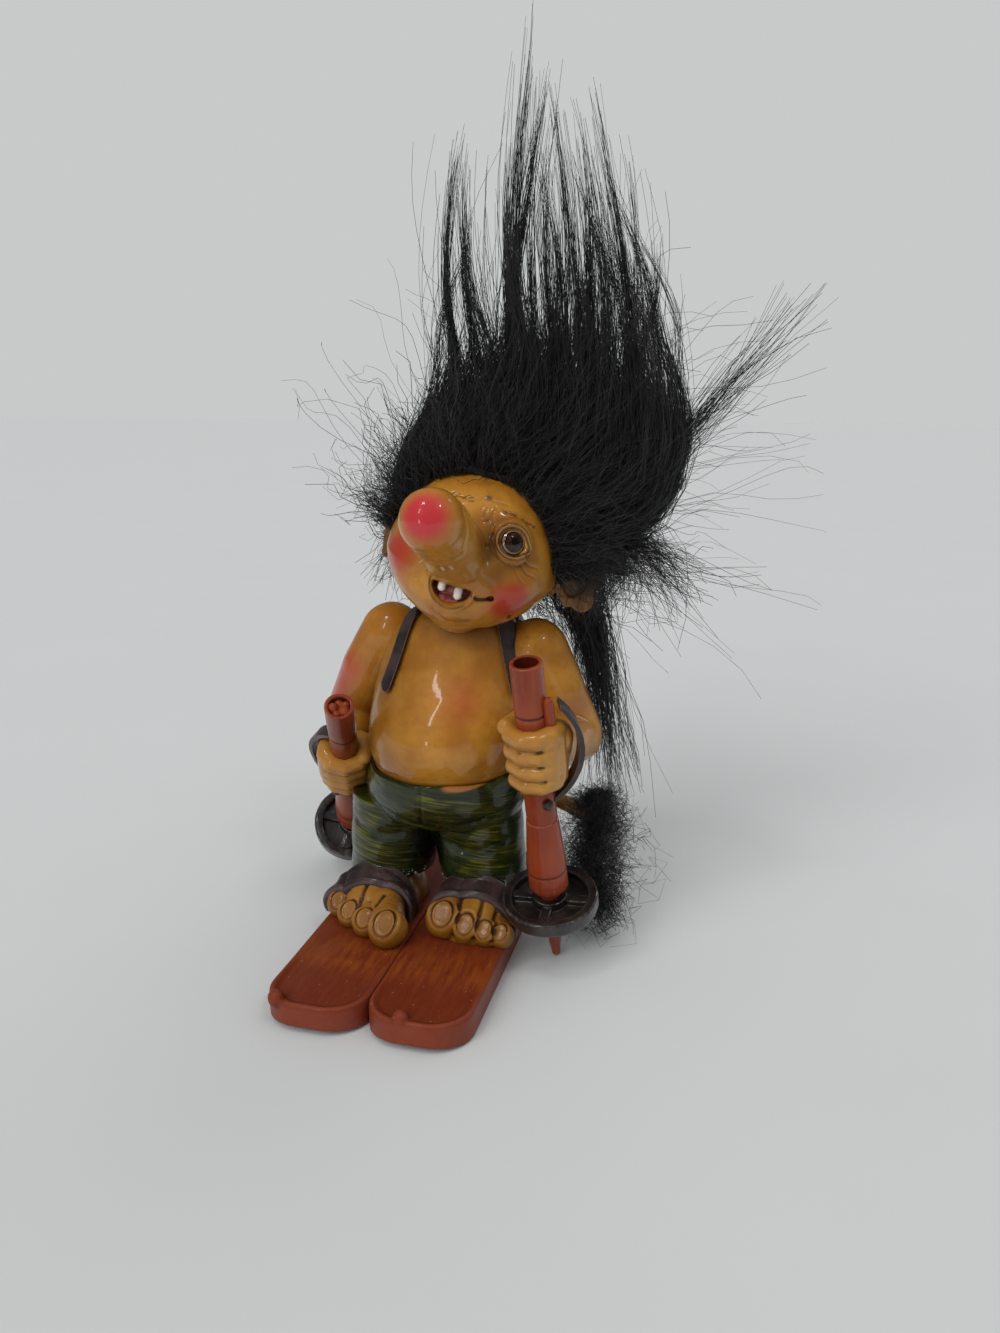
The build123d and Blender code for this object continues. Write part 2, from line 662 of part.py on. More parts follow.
right_pole = pole_plane(RIGHT_POLE_FOOT, RIGHT_POLE_LEAN)
left_pole = pole_plane(LEFT_POLE_FOOT, LEFT_POLE_LEAN)
for side, name, shoulder, elbow, plane, fist_height, brace_x in (
    (-1, "right", RIGHT_SHOULDER, RIGHT_ELBOW, right_pole, RIGHT_FIST_HEIGHT, RIGHT_BRACE_X),
    (1, "left", LEFT_SHOULDER, LEFT_ELBOW, left_pole, LEFT_FIST_HEIGHT, LEFT_BRACE_X),
):
    fist = plane.origin + plane.z_dir * fist_height
    brace = brace_form(side, brace_x, SEAT_GAP, SEAT_GAP + BRACE_THICKNESS, 0.0)
    brace_room = brace_form(side, brace_x, 0.0, 2 * SEAT_GAP + BRACE_THICKNESS, SEAT_GAP)
    hand = make_hand(plane, fist, elbow)
    write(brace, f"{name}_brace")
    write(make_arm(shoulder, elbow, fist, brace_room.part), f"{name}_arm")
    write(hand, f"{name}_hand")
    write(make_wrist_strap(side, plane, fist, elbow, hand), f"{name}_wrist_strap")
    write(make_shaft(plane), f"{name}_pole_shaft")
    write(make_grip(plane), f"{name}_pole_grip")
    write(make_basket(plane), f"{name}_basket")


def make_eye(side):
    """A glass eye on its wire shank."""
    middle = on_head((side * EYE[0], EYE[1], EYE[2]))
    with BuildPart() as eye:
        with Locations(middle):
            Sphere(EYE_RADIUS)
        with Locations(Plane(middle, z_dir=head_centre - middle)):
            Cylinder(EYE_SHANK_RADIUS, EYE_SHANK_LENGTH, align=(Align.CENTER, Align.CENTER, Align.MIN))
    return eye


def ear_plane(root, way, facing):
    """The ear's own plane: X along the ear, Z out of its hollow side."""
    origin = on_head(root)
    x_dir = (on_head(Vector(*root) + Vector(*way)) - origin).normalized()
    front = on_head(Vector(*root) + Vector(*facing)) - origin
    return Plane(origin, x_dir=x_dir, z_dir=front - x_dir * front.dot(x_dir))


def make_ear(side, plane):
    """A leaf-shaped ear with a lobe, hollowed in front, on a peg that enters the head."""
    root, bulge, rim = side * EAR_ROOT_HEIGHT / 2, side * EAR_BULGE, side * EAR_RIM
    point = EAR_LENGTH - 2 * EAR_RIM
    with BuildPart() as ear:
        with BuildSketch(plane):
            with BuildLine():
                upper = ThreePointArc((0, root), (EAR_LENGTH / 2, bulge), (EAR_LENGTH, 0))
                lower = ThreePointArc((EAR_LENGTH, 0), (EAR_LENGTH / 2, -bulge), (0, -root))
                Line(lower @ 1, upper @ 0)
            make_face()
            with Locations((EAR_LOBE_REACH, -bulge)):
                Circle(EAR_LOBE_RADIUS)
        extrude(amount=EAR_THICKNESS / 2, both=True)
        with BuildSketch(plane.offset(EAR_THICKNESS / 2)):
            with BuildLine():
                brow = ThreePointArc((EAR_RIM, root - rim), (EAR_LENGTH / 2, bulge - rim), (point, 0))
                base = ThreePointArc((point, 0), (EAR_LENGTH / 2, rim - bulge), (EAR_RIM, rim - root))
                Line(base @ 1, brow @ 0)
            make_face()
        extrude(amount=-EAR_DISH, mode=Mode.SUBTRACT)
        add(head_room, mode=Mode.SUBTRACT)
        with Locations(Plane(plane.origin, z_dir=head_centre - plane.origin)):
            Cylinder(EAR_PEG_RADIUS, EAR_PEG_LENGTH, align=(Align.CENTER, Align.CENTER, Align.MIN))
    return ear


left_ear_plane = ear_plane(LEFT_EAR_ROOT, LEFT_EAR_WAY, (0, -1, 0))
right_ear_plane = ear_plane(RIGHT_EAR_ROOT, RIGHT_EAR_WAY, (-1, 0, 0))
left_ear = make_ear(1, left_ear_plane)
right_ear = make_ear(-1, right_ear_plane)

# Head: skull, long nose and eyelids, cut for the eyes, mouth, ears and neck
lips_y = -CHEEK_DEPTH / 2 - CHEEK_FORWARD
mouth_plane = Plane(on_head((MOUTH_X, lips_y, MOUTH_Z)), x_dir=head_plane.x_dir, z_dir=-head_plane.y_dir)
nose = limb((on_head(NOSE_BASE), on_head(NOSE_TIP)), (NOSE_BASE_RADIUS, NOSE_TIP_RADIUS))
with BuildPart() as head:
    add(head_solid)
    add(nose)
    for side in (-1, 1):
        eye_middle = on_head((side * EYE[0], EYE[1], EYE[2]))
        socket = Plane(eye_middle, z_dir=eye_middle - head_centre)
        with Locations(socket.offset(LID_RISE)):
            Torus(EYE_RADIUS, LID_RADIUS)
        with Locations(socket):
            Sphere(EYE_RADIUS + PEG_CLEARANCE, mode=Mode.SUBTRACT)
            Cylinder(
                EYE_SHANK_RADIUS + PEG_CLEARANCE,
                EYE_SHANK_LENGTH + PEG_CLEARANCE,
                align=(Align.CENTER, Align.CENTER, Align.MAX),
                mode=Mode.SUBTRACT,
            )
    with BuildSketch(mouth_plane):
        with BuildLine():
            smile = ThreePointArc(
                (-MOUTH_WIDTH / 2, MOUTH_DROP / 2), (0, -MOUTH_DROP / 2), (MOUTH_WIDTH / 2, MOUTH_DROP / 2)
            )
            Line(smile @ 1, smile @ 0)
        make_face()
    extrude(amount=MOUTH_DEPTH, both=True, mode=Mode.SUBTRACT)
    for ear_root in (left_ear_plane.origin, right_ear_plane.origin):
        with Locations(Plane(ear_root, z_dir=head_centre - ear_root)):
            Cylinder(
                EAR_PEG_RADIUS + PEG_CLEARANCE,
                EAR_PEG_LENGTH + PEG_CLEARANCE,
                align=(Align.CENTER, Align.CENTER, Align.MIN),
                mode=Mode.SUBTRACT,
            )
    add(torso_seat, mode=Mode.SUBTRACT)
write(head, "head")
write(left_ear, "left_ear")
write(right_ear, "right_ear")
write(make_eye(-1), "right_eye")
write(make_eye(1), "left_eye")

# Two upper teeth, hung from the roof of the mouth, and the tongue on its floor
with BuildPart() as upper_teeth:
    with BuildSketch(mouth_plane.offset(-TOOTH_SETBACK)) as fronts:
        with Locations((0, (MOUTH_DROP - TOOTH_HEIGHT) / 2)):
            with GridLocations(TOOTH_SPACING, 1, 2, 1):
                Rectangle(TOOTH_WIDTH, TOOTH_HEIGHT)
        fillet(fronts.vertices().group_by(Axis((0, 0, 0), head_plane.z_dir))[0], TOOTH_ROUND)
    extrude(amount=-TOOTH_THICKNESS)
write(upper_teeth, "upper_teeth")

with BuildPart() as tongue:
    with BuildSketch(mouth_plane.offset(-TOOTH_SETBACK)):
        with BuildLine():
            floor = ThreePointArc(
                (-MOUTH_WIDTH / 2, MOUTH_DROP / 2), (0, -MOUTH_DROP / 2), (MOUTH_WIDTH / 2, MOUTH_DROP / 2)
            )
            Line(floor @ 1, floor @ 0)
        make_face()
        offset(amount=-SEAT_GAP)
    extrude(amount=-TONGUE_LENGTH)
    split(
        bisect_by=Plane(mouth_plane.origin - head_plane.z_dir * TONGUE_DROP, z_dir=head_plane.z_dir),
        keep=Keep.BOTTOM,
    )
write(tongue, "tongue")

# Wig: the cap follows the skull behind the hairline, and the fur stands on the cap
hairline = Plane(
    on_head((0, HAIRLINE_Y, CROWN_RISE)),
    z_dir=on_head(Vector(0, 1, 0).rotate(Axis.X, HAIRLINE_SLOPE)) - head_centre,
)
cap_form = head_form(SEAT_GAP + CAP_THICKNESS)
hair_room = head_form(2 * SEAT_GAP + CAP_THICKNESS)
with BuildPart() as wig_cap:
    add(cap_form)
    add(head_room, mode=Mode.SUBTRACT)
    split(bisect_by=hairline, keep=Keep.TOP)
    for neighbour in (right_ear.part, left_ear.part):
        add(neighbour, mode=Mode.SUBTRACT)
write(wig_cap, "wig_cap")


def risen(points):
    """Points of the hair, with their rises turned into heights."""
    return [Vector(x, y, head_centre.Z + rise) for x, y, rise in points]


def crown_form(grow):
    """The mass of hair above the brow."""
    head_z = head_centre.Z
    return stack(
        (
            (head_z + HAIR_BASE_RISE, HAIR_BASE_X, HAIR_BASE_Y, HAIR_BASE_WIDTH, HAIR_BASE_DEPTH),
            (head_z + HAIR_SWELL_RISE, HAIR_X, HAIR_Y, HAIR_WIDTH, HAIR_DEPTH),
            (head_z + HAIR_SHOULDER_RISE, HAIR_TOP_X, HAIR_Y, HAIR_SHOULDER_WIDTH, HAIR_SHOULDER_DEPTH),
            (head_z + HAIR_TOP_RISE, HAIR_TOP_X, HAIR_Y, HAIR_TOP_WIDTH, HAIR_TOP_DEPTH),
        ),
        grow,
    )


def nape_form(grow):
    """The mass of hair behind the head."""
    top_z = head_centre.Z + HAIR_BASE_RISE - SEAT_GAP
    return stack(
        (
            (head_centre.Z + NAPE_RISE, NAPE_X, NAPE_Y, NAPE_WIDTH, NAPE_DEPTH),
            (top_z, HAIR_BASE_X, HAIR_BASE_Y, HAIR_BASE_WIDTH, HAIR_BASE_DEPTH),
        ),
        grow,
    )


crown_solid = crown_form(0.0)
with BuildPart() as crown_hair:
    add(crown_solid)
    for foot_x, foot_y, tip_x, tip_y, tip_rise in LOCKS:
        lock = risen(((foot_x, foot_y, LOCK_FOOT_RISE), (tip_x, tip_y, tip_rise)))
        add(limb(lock, (LOCK_RADIUS, LOCK_TIP_RADIUS)))
    add(hair_room, mode=Mode.SUBTRACT)
    split(bisect_by=hairline, keep=Keep.TOP)
    for neighbour in (right_ear.part, left_ear.part):
        add(neighbour, mode=Mode.SUBTRACT)
write(crown_hair, "crown_hair")

nape_solid = nape_form(0.0)
with BuildPart() as nape_hair:
    add(nape_solid)
    add(hair_room, mode=Mode.SUBTRACT)
    split(bisect_by=hairline, keep=Keep.TOP)
    for neighbour in (right_ear.part, left_ear.part):
        add(neighbour, mode=Mode.SUBTRACT)
write(nape_hair, "nape_hair")

crown_room = crown_form(SEAT_GAP)
nape_room = nape_form(SEAT_GAP)
for points, name in (
    (SPRAY, "left_spray"),
    (LOW_SPRAY, "left_low_spray"),
    (FALL, "left_fall"),
    (TEMPLE_LOCK, "right_temple_lock"),
):
    lock = limb(risen(points), WISP_RADII)
    with BuildPart() as wisp:
        add(lock)
        for neighbour in (crown_room, nape_room, hair_room, right_ear.part, left_ear.part):
            add(neighbour, mode=Mode.SUBTRACT)
    write(wisp, name)


def tail_form(grow):
    """The tail, one round bend from the seat of the trousers to the brush."""
    root, bend, end = [Vector(x, y, waist_z + rise) for x, y, rise in (TAIL_ROOT, TAIL_BEND, TAIL_END)]
    with BuildPart() as form:
        with BuildLine() as line:
            path = ThreePointArc(root, bend, end)
        with BuildSketch(Plane(path @ 0, z_dir=path % 0)):
            Circle(TAIL_RADIUS + grow)
        sweep(path=line.wires()[0])
    return form.part


# Tail and its brush
tail_solid = tail_form(0.0)
tail_room = tail_form(SEAT_GAP)
with BuildPart() as tail:
    add(tail_solid)
    add(trouser_room, mode=Mode.SUBTRACT)
write(tail, "tail")

brush_solid = stack(
    (
        (BRUSH_BOTTOM, BRUSH_X, BRUSH_Y, BRUSH_TIP_WIDTH, BRUSH_TIP_DEPTH),
        (BRUSH_BOTTOM + BRUSH_HEIGHT / 2, BRUSH_X, BRUSH_Y, BRUSH_WIDTH, BRUSH_DEPTH),
        (BRUSH_BOTTOM + BRUSH_HEIGHT, BRUSH_X, BRUSH_Y, BRUSH_TIP_WIDTH, BRUSH_TIP_DEPTH),
    )
)
with BuildPart() as tail_brush:
    add(brush_solid)
    add(tail_room, mode=Mode.SUBTRACT)
write(tail_brush, "tail_brush")
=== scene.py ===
import math

import bpy
import numpy as np
from mathutils import Euler, Matrix, Vector


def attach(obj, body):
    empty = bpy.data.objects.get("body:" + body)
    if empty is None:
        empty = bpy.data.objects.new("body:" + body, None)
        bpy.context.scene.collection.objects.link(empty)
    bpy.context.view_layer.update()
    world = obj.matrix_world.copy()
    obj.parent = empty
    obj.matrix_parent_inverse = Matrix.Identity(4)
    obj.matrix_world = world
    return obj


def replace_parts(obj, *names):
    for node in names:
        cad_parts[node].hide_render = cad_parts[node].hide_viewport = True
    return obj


# A small Norwegian troll on skis: a cast body, painted and varnished by hand, with glass eyes,
# two ski poles and a wig of long black fur. The frame below is its plain solid model.
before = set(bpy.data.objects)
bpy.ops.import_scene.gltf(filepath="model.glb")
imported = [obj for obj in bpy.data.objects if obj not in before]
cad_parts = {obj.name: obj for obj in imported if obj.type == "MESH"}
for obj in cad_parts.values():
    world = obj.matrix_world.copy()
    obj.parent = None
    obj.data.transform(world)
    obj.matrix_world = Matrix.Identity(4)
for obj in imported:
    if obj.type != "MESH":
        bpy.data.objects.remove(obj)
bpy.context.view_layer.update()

# Skis
# Two short cast boards lie side by side and carry the whole figure. Their tops are dished, with a
# lip round the tip and a button on its edge, and the brick red paint is rubbed paler on the rims.
MM = 0.001


def deselect():
    bpy.ops.object.select_all(action="DESELECT")


def make_active(piece):
    deselect()
    piece.select_set(True)
    bpy.context.view_layer.objects.active = piece


def apply_modifier(piece, kind, **settings):
    """Add one modifier to a piece and make it real."""
    make_active(piece)
    modifier = piece.modifiers.new(kind.title(), kind)
    for name, value in settings.items():
        setattr(modifier, name, value)
    bpy.ops.object.modifier_apply(modifier=modifier.name)


def skin_over(piece, grain, rounds):
    """Give a piece one closed skin of even small faces, then smooth it."""
    make_active(piece)
    piece.data.remesh_voxel_size = grain * MM
    bpy.ops.object.voxel_remesh()
    bpy.ops.mesh.customdata_custom_splitnormals_clear()
    apply_modifier(piece, "SMOOTH", factor=0.5, iterations=rounds)
    bpy.ops.object.shade_smooth()
    return piece


def clay(node, name, grain, rounds):
    """Clay in the shape of a plain solid, to be modelled further."""
    piece = bpy.data.objects.new(name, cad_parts[node].data.copy())
    bpy.context.collection.objects.link(piece)
    make_active(piece)
    bpy.ops.object.mode_set(mode="EDIT")
    bpy.ops.mesh.select_all(action="SELECT")
    bpy.ops.mesh.remove_doubles(threshold=0.001 * MM)
    bpy.ops.object.mode_set(mode="OBJECT")
    return skin_over(piece, grain, rounds)


def points(piece):
    """The piece's points in millimetres."""
    flat = np.empty(3 * len(piece.data.vertices), np.float32)
    piece.data.vertices.foreach_get("co", flat)
    return flat.reshape(-1, 3).astype(float) / MM


def normals(piece):
    flat = np.empty(3 * len(piece.data.vertices), np.float32)
    piece.data.vertices.foreach_get("normal", flat)
    return flat.reshape(-1, 3).astype(float)


def move_to(piece, where):
    piece.data.vertices.foreach_set("co", (where * MM).astype(np.float32).ravel())
    piece.data.update()


def from_line(where, line):
    """How far every point is from a line of straight runs."""
    line = np.array(line, float)
    gap = np.full(len(where), np.inf)
    for start, end in zip(line, line[1:]):
        run = end - start
        along = np.clip((where - start) @ run / (run @ run), 0, 1)
        gap = np.minimum(gap, np.linalg.norm(where - start - along[:, None] * run, axis=1))
    return gap


def fade(gap, width, power=2):
    """1 where there is no gap, fading out over a width."""
    return np.exp(-((gap / width) ** power))


def ramp(values, start, run):
    """0 before the start, then rising to 1 over the run. A negative run rises the other way."""
    return np.clip((values - start) / run, 0, 1)


def paint(piece, mask, values):
    """Lay more of a painted mask on a piece, keeping the stronger of old and new."""
    layer = piece.data.attributes.get(mask) or piece.data.attributes.new(mask, "FLOAT", "POINT")
    before = np.empty(len(piece.data.vertices), np.float32)
    layer.data.foreach_get("value", before)
    layer.data.foreach_set("value", np.maximum(before, values).astype(np.float32))


def wipe(piece, mask, keep):
    """Take a painted mask off a piece again, down to the share that is kept."""
    layer = piece.data.attributes[mask]
    before = np.empty(len(piece.data.vertices), np.float32)
    layer.data.foreach_get("value", before)
    layer.data.foreach_set("value", (before * keep).astype(np.float32))


def press(piece, line, width, depth, wash=0.0):
    """Press a soft groove along a line, or raise a ridge where depth is negative, and stain it."""
    where = points(piece)
    groove = fade(from_line(where, line), width)
    move_to(piece, where - normals(piece) * (groove * depth)[:, None])
    paint(piece, "wash", groove * wash)


def neighbours(piece):
    """Both ends of every edge of a piece, taken both ways round, and how many edges each point has."""
    ends = np.empty(2 * len(piece.data.edges), np.int32)
    piece.data.edges.foreach_get("vertices", ends)
    pairs = ends.reshape(-1, 2)
    here, there = np.concatenate((pairs, pairs[:, ::-1])).T
    return here, there, np.maximum(np.bincount(here, minlength=len(piece.data.vertices)), 1)


def weather(piece, gain, spread):
    """Paint wash into the hollows of a piece, and wear and painted highlight onto its edges, by how its
    skin bends.
    """
    where, outward = points(piece), normals(piece)
    here, there, count = neighbours(piece)
    run = where[there] - where[here]
    run /= np.linalg.norm(run, axis=1)[:, None] + 1e-9
    bend = np.bincount(here, (outward[here] * run).sum(1), len(where)) / count
    for _ in range(spread):
        bend = 0.5 * bend + 0.5 * np.bincount(here, bend[there], len(where)) / count
    paint(piece, "wash", np.clip(bend * gain, 0, 1))
    paint(piece, "wear_and_highlight", np.clip(-bend * gain, 0, 1))


class Shade:
    """One socket of a material, so that masks can be written as sums."""

    def __init__(self, tree, socket=None):
        self.tree = tree
        self.socket = socket

    def node(self, kind, settings=None, sockets=None, out=0):
        """A node of any kind: its settings first, then the values or links of its sockets."""
        made = self.tree.nodes.new("ShaderNode" + kind)
        for name, value in (settings or {}).items():
            setattr(made, name, value)
        for name, value in (sockets or {}).items():
            if isinstance(value, Shade):
                self.tree.links.new(value.socket, made.inputs[name])
            else:
                made.inputs[name].default_value = value
        return Shade(self.tree, made.outputs[out])

    def math(self, operation, first, second):
        return self.node("Math", {"operation": operation}, {0: first, 1: second})

    def __add__(self, other):
        return self.math("ADD", self, other)

    def __mul__(self, other):
        return self.math("MULTIPLY", self, other)

    __radd__ = __add__
    __rmul__ = __mul__

    def between(self, low, high):
        """0 where the value is at low, 1 where it is at high, with a soft step between."""
        sockets = {"Value": self, "From Min": low, "From Max": high}
        return self.node("MapRange", {"interpolation_type": "SMOOTHSTEP"}, sockets)

    def blend(self, under, over):
        """A colour that goes from one to another as this mask goes from 0 to 1."""
        under = (*under, 1) if isinstance(under, tuple) else under
        over = (*over, 1) if isinstance(over, tuple) else over
        return self.node("Mix", {"data_type": "RGBA"}, {0: self, 6: under, 7: over}, out=2)

    def mask(self, name):
        """A mask painted on the piece."""
        return self.node("Attribute", {"attribute_name": name}, out="Fac")

    def grain(self, size, detail=3.0, stretch=(1, 1, 1), turn=(0, 0, 0), offset=(0, 0, 0)):
        """Noise in patches of about size millimetres, stretched along the piece's own axes."""
        coords = self.node("TexCoord", out="Object")
        turned = self.node("Mapping", {"vector_type": "TEXTURE"}, {"Vector": coords, "Rotation": turn})
        scale = tuple(1 / (size * MM * s) for s in stretch)
        spread = self.node("Mapping", None, {"Vector": turned, "Scale": scale, "Location": offset})
        return self.node("TexNoise", None, {"Vector": spread, "Scale": 1.0, "Detail": detail})


def make_finish(name, plain, recipe, coat=(0.0, 0.03), specular=0.5, sheen=0.0):
    """A material, with the weight and roughness of its coat of varnish. The recipe takes a Shade and
    gives colour, roughness, and the height and depth of the relief."""
    finish = bpy.data.materials.new(name)
    finish.use_nodes = True
    tree = finish.node_tree
    surface = tree.nodes["Principled BSDF"]
    surface.inputs["Base Color"].default_value = (*plain, 1)
    surface.inputs["Coat Weight"].default_value = coat[0]
    surface.inputs["Coat Roughness"].default_value = coat[1]
    surface.inputs["Specular IOR Level"].default_value = specular
    surface.inputs["Sheen Weight"].default_value = sheen
    colour, roughness, height, depth = recipe(Shade(tree))
    tree.links.new(colour.socket, surface.inputs["Base Color"])
    tree.links.new(roughness.socket, surface.inputs["Roughness"])
    if height:
        relief = {"Strength": 1.0, "Distance": depth * MM, "Height": height}
        bump = Shade(tree).node("Bump", None, relief)
        tree.links.new(bump.socket, surface.inputs["Normal"])
    return finish


def place(piece, finish, slot, *nodes):
    """Give a finished piece its material, and put it in the place of its plain solids."""
    piece.data.materials.clear()
    piece.data.materials.append(finish)
    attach(piece, "root")
    if nodes:
        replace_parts(piece, *nodes)


def ski_paint(shade):
    streak = shade.grain(1.1, 4.0, (1, 6, 1))
    patch = shade.grain(12, 2.0, (1, 1.4, 1), offset=(4.2, 0.3, 0))
    brick = streak.between(0.2, 0.8).blend((0.136, 0.020, 0.006), (0.168, 0.028, 0.008))
    rubbed = shade.mask("brushed") * streak.between(0.28, 0.76) * 0.7
    orange = rubbed.blend(brick, (0.265, 0.062, 0.006))
    worn = (patch.between(0.52, 0.7) * 0.35).blend(orange, (0.21, 0.050, 0.016))
    rim = (shade.mask("wear_and_highlight").between(0.05, 0.5) * 0.7).blend(worn, (0.25, 0.050, 0.022))
    dirty = (shade.mask("wash").between(0.05, 0.8) * 0.85).blend(rim, (0.040, 0.009, 0.005))
    speck = shade.grain(0.9, 1.0).between(0.74, 0.78)
    colour = (speck * 0.35).blend(dirty, (0.50, 0.26, 0.18))
    return colour, 0.36 + 0.22 * patch, streak + shade.grain(0.5) * 0.5, 0.10


ski_finish = make_finish("ski_paint", (0.19, 0.035, 0.012), ski_paint, coat=(0.1, 0.22), specular=0.22)
SKI_TOP = 6.0
SKI_HALF_WIDTH = 11.0
BRUSHED_Y = -27.5
SKI_BEND = -30.0
SKI_TIP = -48.5
TIP_ROUND = 8.5
TIP_ROUND_START = SKI_TIP + TIP_ROUND
BUTTON_Y = -46.8
for name, middle, button_x in (
    ("right_ski", -SKI_HALF_WIDTH, -18.0),
    ("left_ski", SKI_HALF_WIDTH, 8.8),
):
    ski = clay(name, name + "_board", 0.36, 3)
    where = points(ski)
    across = np.abs(where[:, 0] - middle)
    past_bend = ramp(where[:, 1], SKI_BEND, SKI_TIP - SKI_BEND)
    past_flat = np.maximum(across - SKI_HALF_WIDTH + TIP_ROUND, 0)
    to_corner = np.hypot(past_flat, np.maximum(TIP_ROUND_START - where[:, 1], 0))
    from_side = SKI_HALF_WIDTH - across
    from_rim = np.where(where[:, 1] < TIP_ROUND_START, TIP_ROUND - to_corner, from_side)
    from_rim = np.minimum(from_side, from_rim)
    top = ramp(where[:, 2], SKI_TOP - 1.4, 1.2)
    dish = ramp(from_rim, 0.9, 1.3) * top * past_bend**0.5
    button = fade(np.hypot(where[:, 0] - button_x, where[:, 1] - BUTTON_Y), 2.4)
    where[:, 2] -= dish * 0.75 * (1 - button)
    where[:, 2] += top * past_bend**2 * 0.5
    move_to(ski, where)
    weather(ski, 3.0, 2)
    wipe(ski, "wash", ramp(where[:, 2], 3.0, 1.0))
    paint(ski, "wash", dish * fade(from_rim - 1.6, 0.7) * 0.45)
    # The upright sides of each board are painted paler than its top
    paint(ski, "wear_and_highlight", 0.36 * np.clip(0.5 - np.abs(normals(ski)[:, 2]), 0, 0.5) / 0.5)
    paint(ski, "brushed", top * fade(where[:, 1] - BRUSHED_Y, 6.5, 4))
    place(ski, ski_finish, "ski", name)

# Feet
# Broad bare feet, cast with the body and pegged to the skis. Each toe has its own nail, with a
# fold of skin round it, and a brown wash is left in every crease under the varnish.


def skin_paint(shade):
    cloud = shade.grain(9, 3.0)
    fine = shade.grain(1.3, 4.0)
    tan = cloud.between(0.36, 0.66).blend((0.350, 0.132, 0.012), (0.47, 0.208, 0.024))
    mottled = (fine.between(0.5, 0.8) * 0.35).blend(tan, (0.26, 0.084, 0.008))
    # Paler where the pale mask lies: painted light on the foot tops and the nose's side, paler paint on
    # the fists
    pale = (shade.mask("pale") * 0.8).blend(mottled, (0.46, 0.235, 0.052))
    # Edges and lid ridges painted paler, partly as rubbed paint and partly as painted highlight
    rubbed = (shade.mask("wear_and_highlight").between(0.12, 0.8) * 0.4).blend(pale, (0.60, 0.36, 0.10))
    # Painted shade, darkening the tan wherever the shadow mask lies
    shaded = (shade.mask("shadow") * 0.8).blend(rubbed, (0.105, 0.036, 0.005))
    pink = (shade.mask("blush").between(0.0, 0.9) * 0.92).blend(shaded, (0.37, 0.028, 0.018))
    colour = (shade.mask("wash").between(0.05, 0.75) * 0.92).blend(pink, (0.030, 0.009, 0.004))
    return colour, 0.26 + 0.18 * fine, fine + cloud * 0.5, 0.09


skin_finish = make_finish("skin_paint", (0.36, 0.15, 0.02), skin_paint, coat=(0.7, 0.07), specular=0.22)
foot_finish = make_finish(
    "foot_paint", (0.25, 0.10, 0.02), skin_paint, coat=(0.25, 0.16), specular=0.22
)


def lumps(where, size, seed):
    """Uneven swells of about that size, such as fingers leave in clay."""
    chance = np.random.default_rng(seed)
    ways = chance.normal(size=(9, 3))
    ways /= np.linalg.norm(ways, axis=1)[:, None]
    ways *= 2 * math.pi / size * chance.uniform(0.7, 1.4, (9, 1))
    return np.sin(where @ ways.T + chance.uniform(0, 2 * math.pi, 9)).mean(1)


def swell(piece, height):
    """Push every point of a piece out along its own normal."""
    move_to(piece, points(piece) + normals(piece) * height[:, None])


def cast(node, suffix, grain, rounds, bumps, size, seed):
    """A cast piece: its plain solid in clay, with the small swells that modelling by hand leaves."""
    piece = clay(node, node + suffix, grain, rounds)
    swell(piece, bumps * lumps(points(piece), size, seed))
    return piece


def nail(foot, toe, radius, facing):
    """A nail: a flat plate with a groove round it and a fold of skin outside that."""
    where = points(foot)
    facing = np.array(facing) / np.linalg.norm(facing)
    across = np.array((1.0, 0.0, 0.0))
    along = np.cross(facing, across)
    offset = where - np.array(toe)
    side = offset @ across / (0.62 * radius)
    length = (offset @ along - 0.05 * radius) / (0.80 * radius)
    edge = np.hypot(side, length)
    front = np.clip(offset @ facing / radius - 0.35, 0, 0.3) / 0.3
    front *= np.linalg.norm(offset, axis=1) < 1.5 * radius
    plate = ramp(edge, 1.0, -0.25) * front
    to_root = np.clip(0.85 + 0.4 * length, 0.45, 1)
    groove = fade(edge - 1.0, 0.10) * front * to_root
    fold = fade(edge - 1.32, 0.20) * front * to_root
    crown = np.clip(offset @ facing - 0.76 * radius, 0, None) * plate
    swell(foot, radius * (0.07 * fold - 0.12 * groove) - 0.85 * crown)
    paint(foot, "wash", groove * 0.95)
    paint(foot, "wear_and_highlight", fold * 0.3)
    paint(foot, "shadow", plate * 0.8)


def on_skin(piece, line):
    """Lay a line given near the skin onto the skin itself, point by point."""
    where = points(piece)
    return [where[np.argmin(np.linalg.norm(where - spot, axis=1))] for spot in line]


FOOT_Y = -3.5
NAIL_FACING = (0.0, -0.66, 0.75)
# Toes from the big one out: how far out from the foot's middle, how far forward, radius
RIGHT_TOES = ((-8.0, 17.6, 4.2), (-1.8, 14.6, 3.3), (3.2, 11.6, 3.1), (7.4, 7.8, 3.0))
LEFT_TOES = ((-6.0, 10.4, 4.2), (-0.4, 11.6, 3.3), (4.0, 11.8, 2.9), (7.5, 11.4, 2.6))
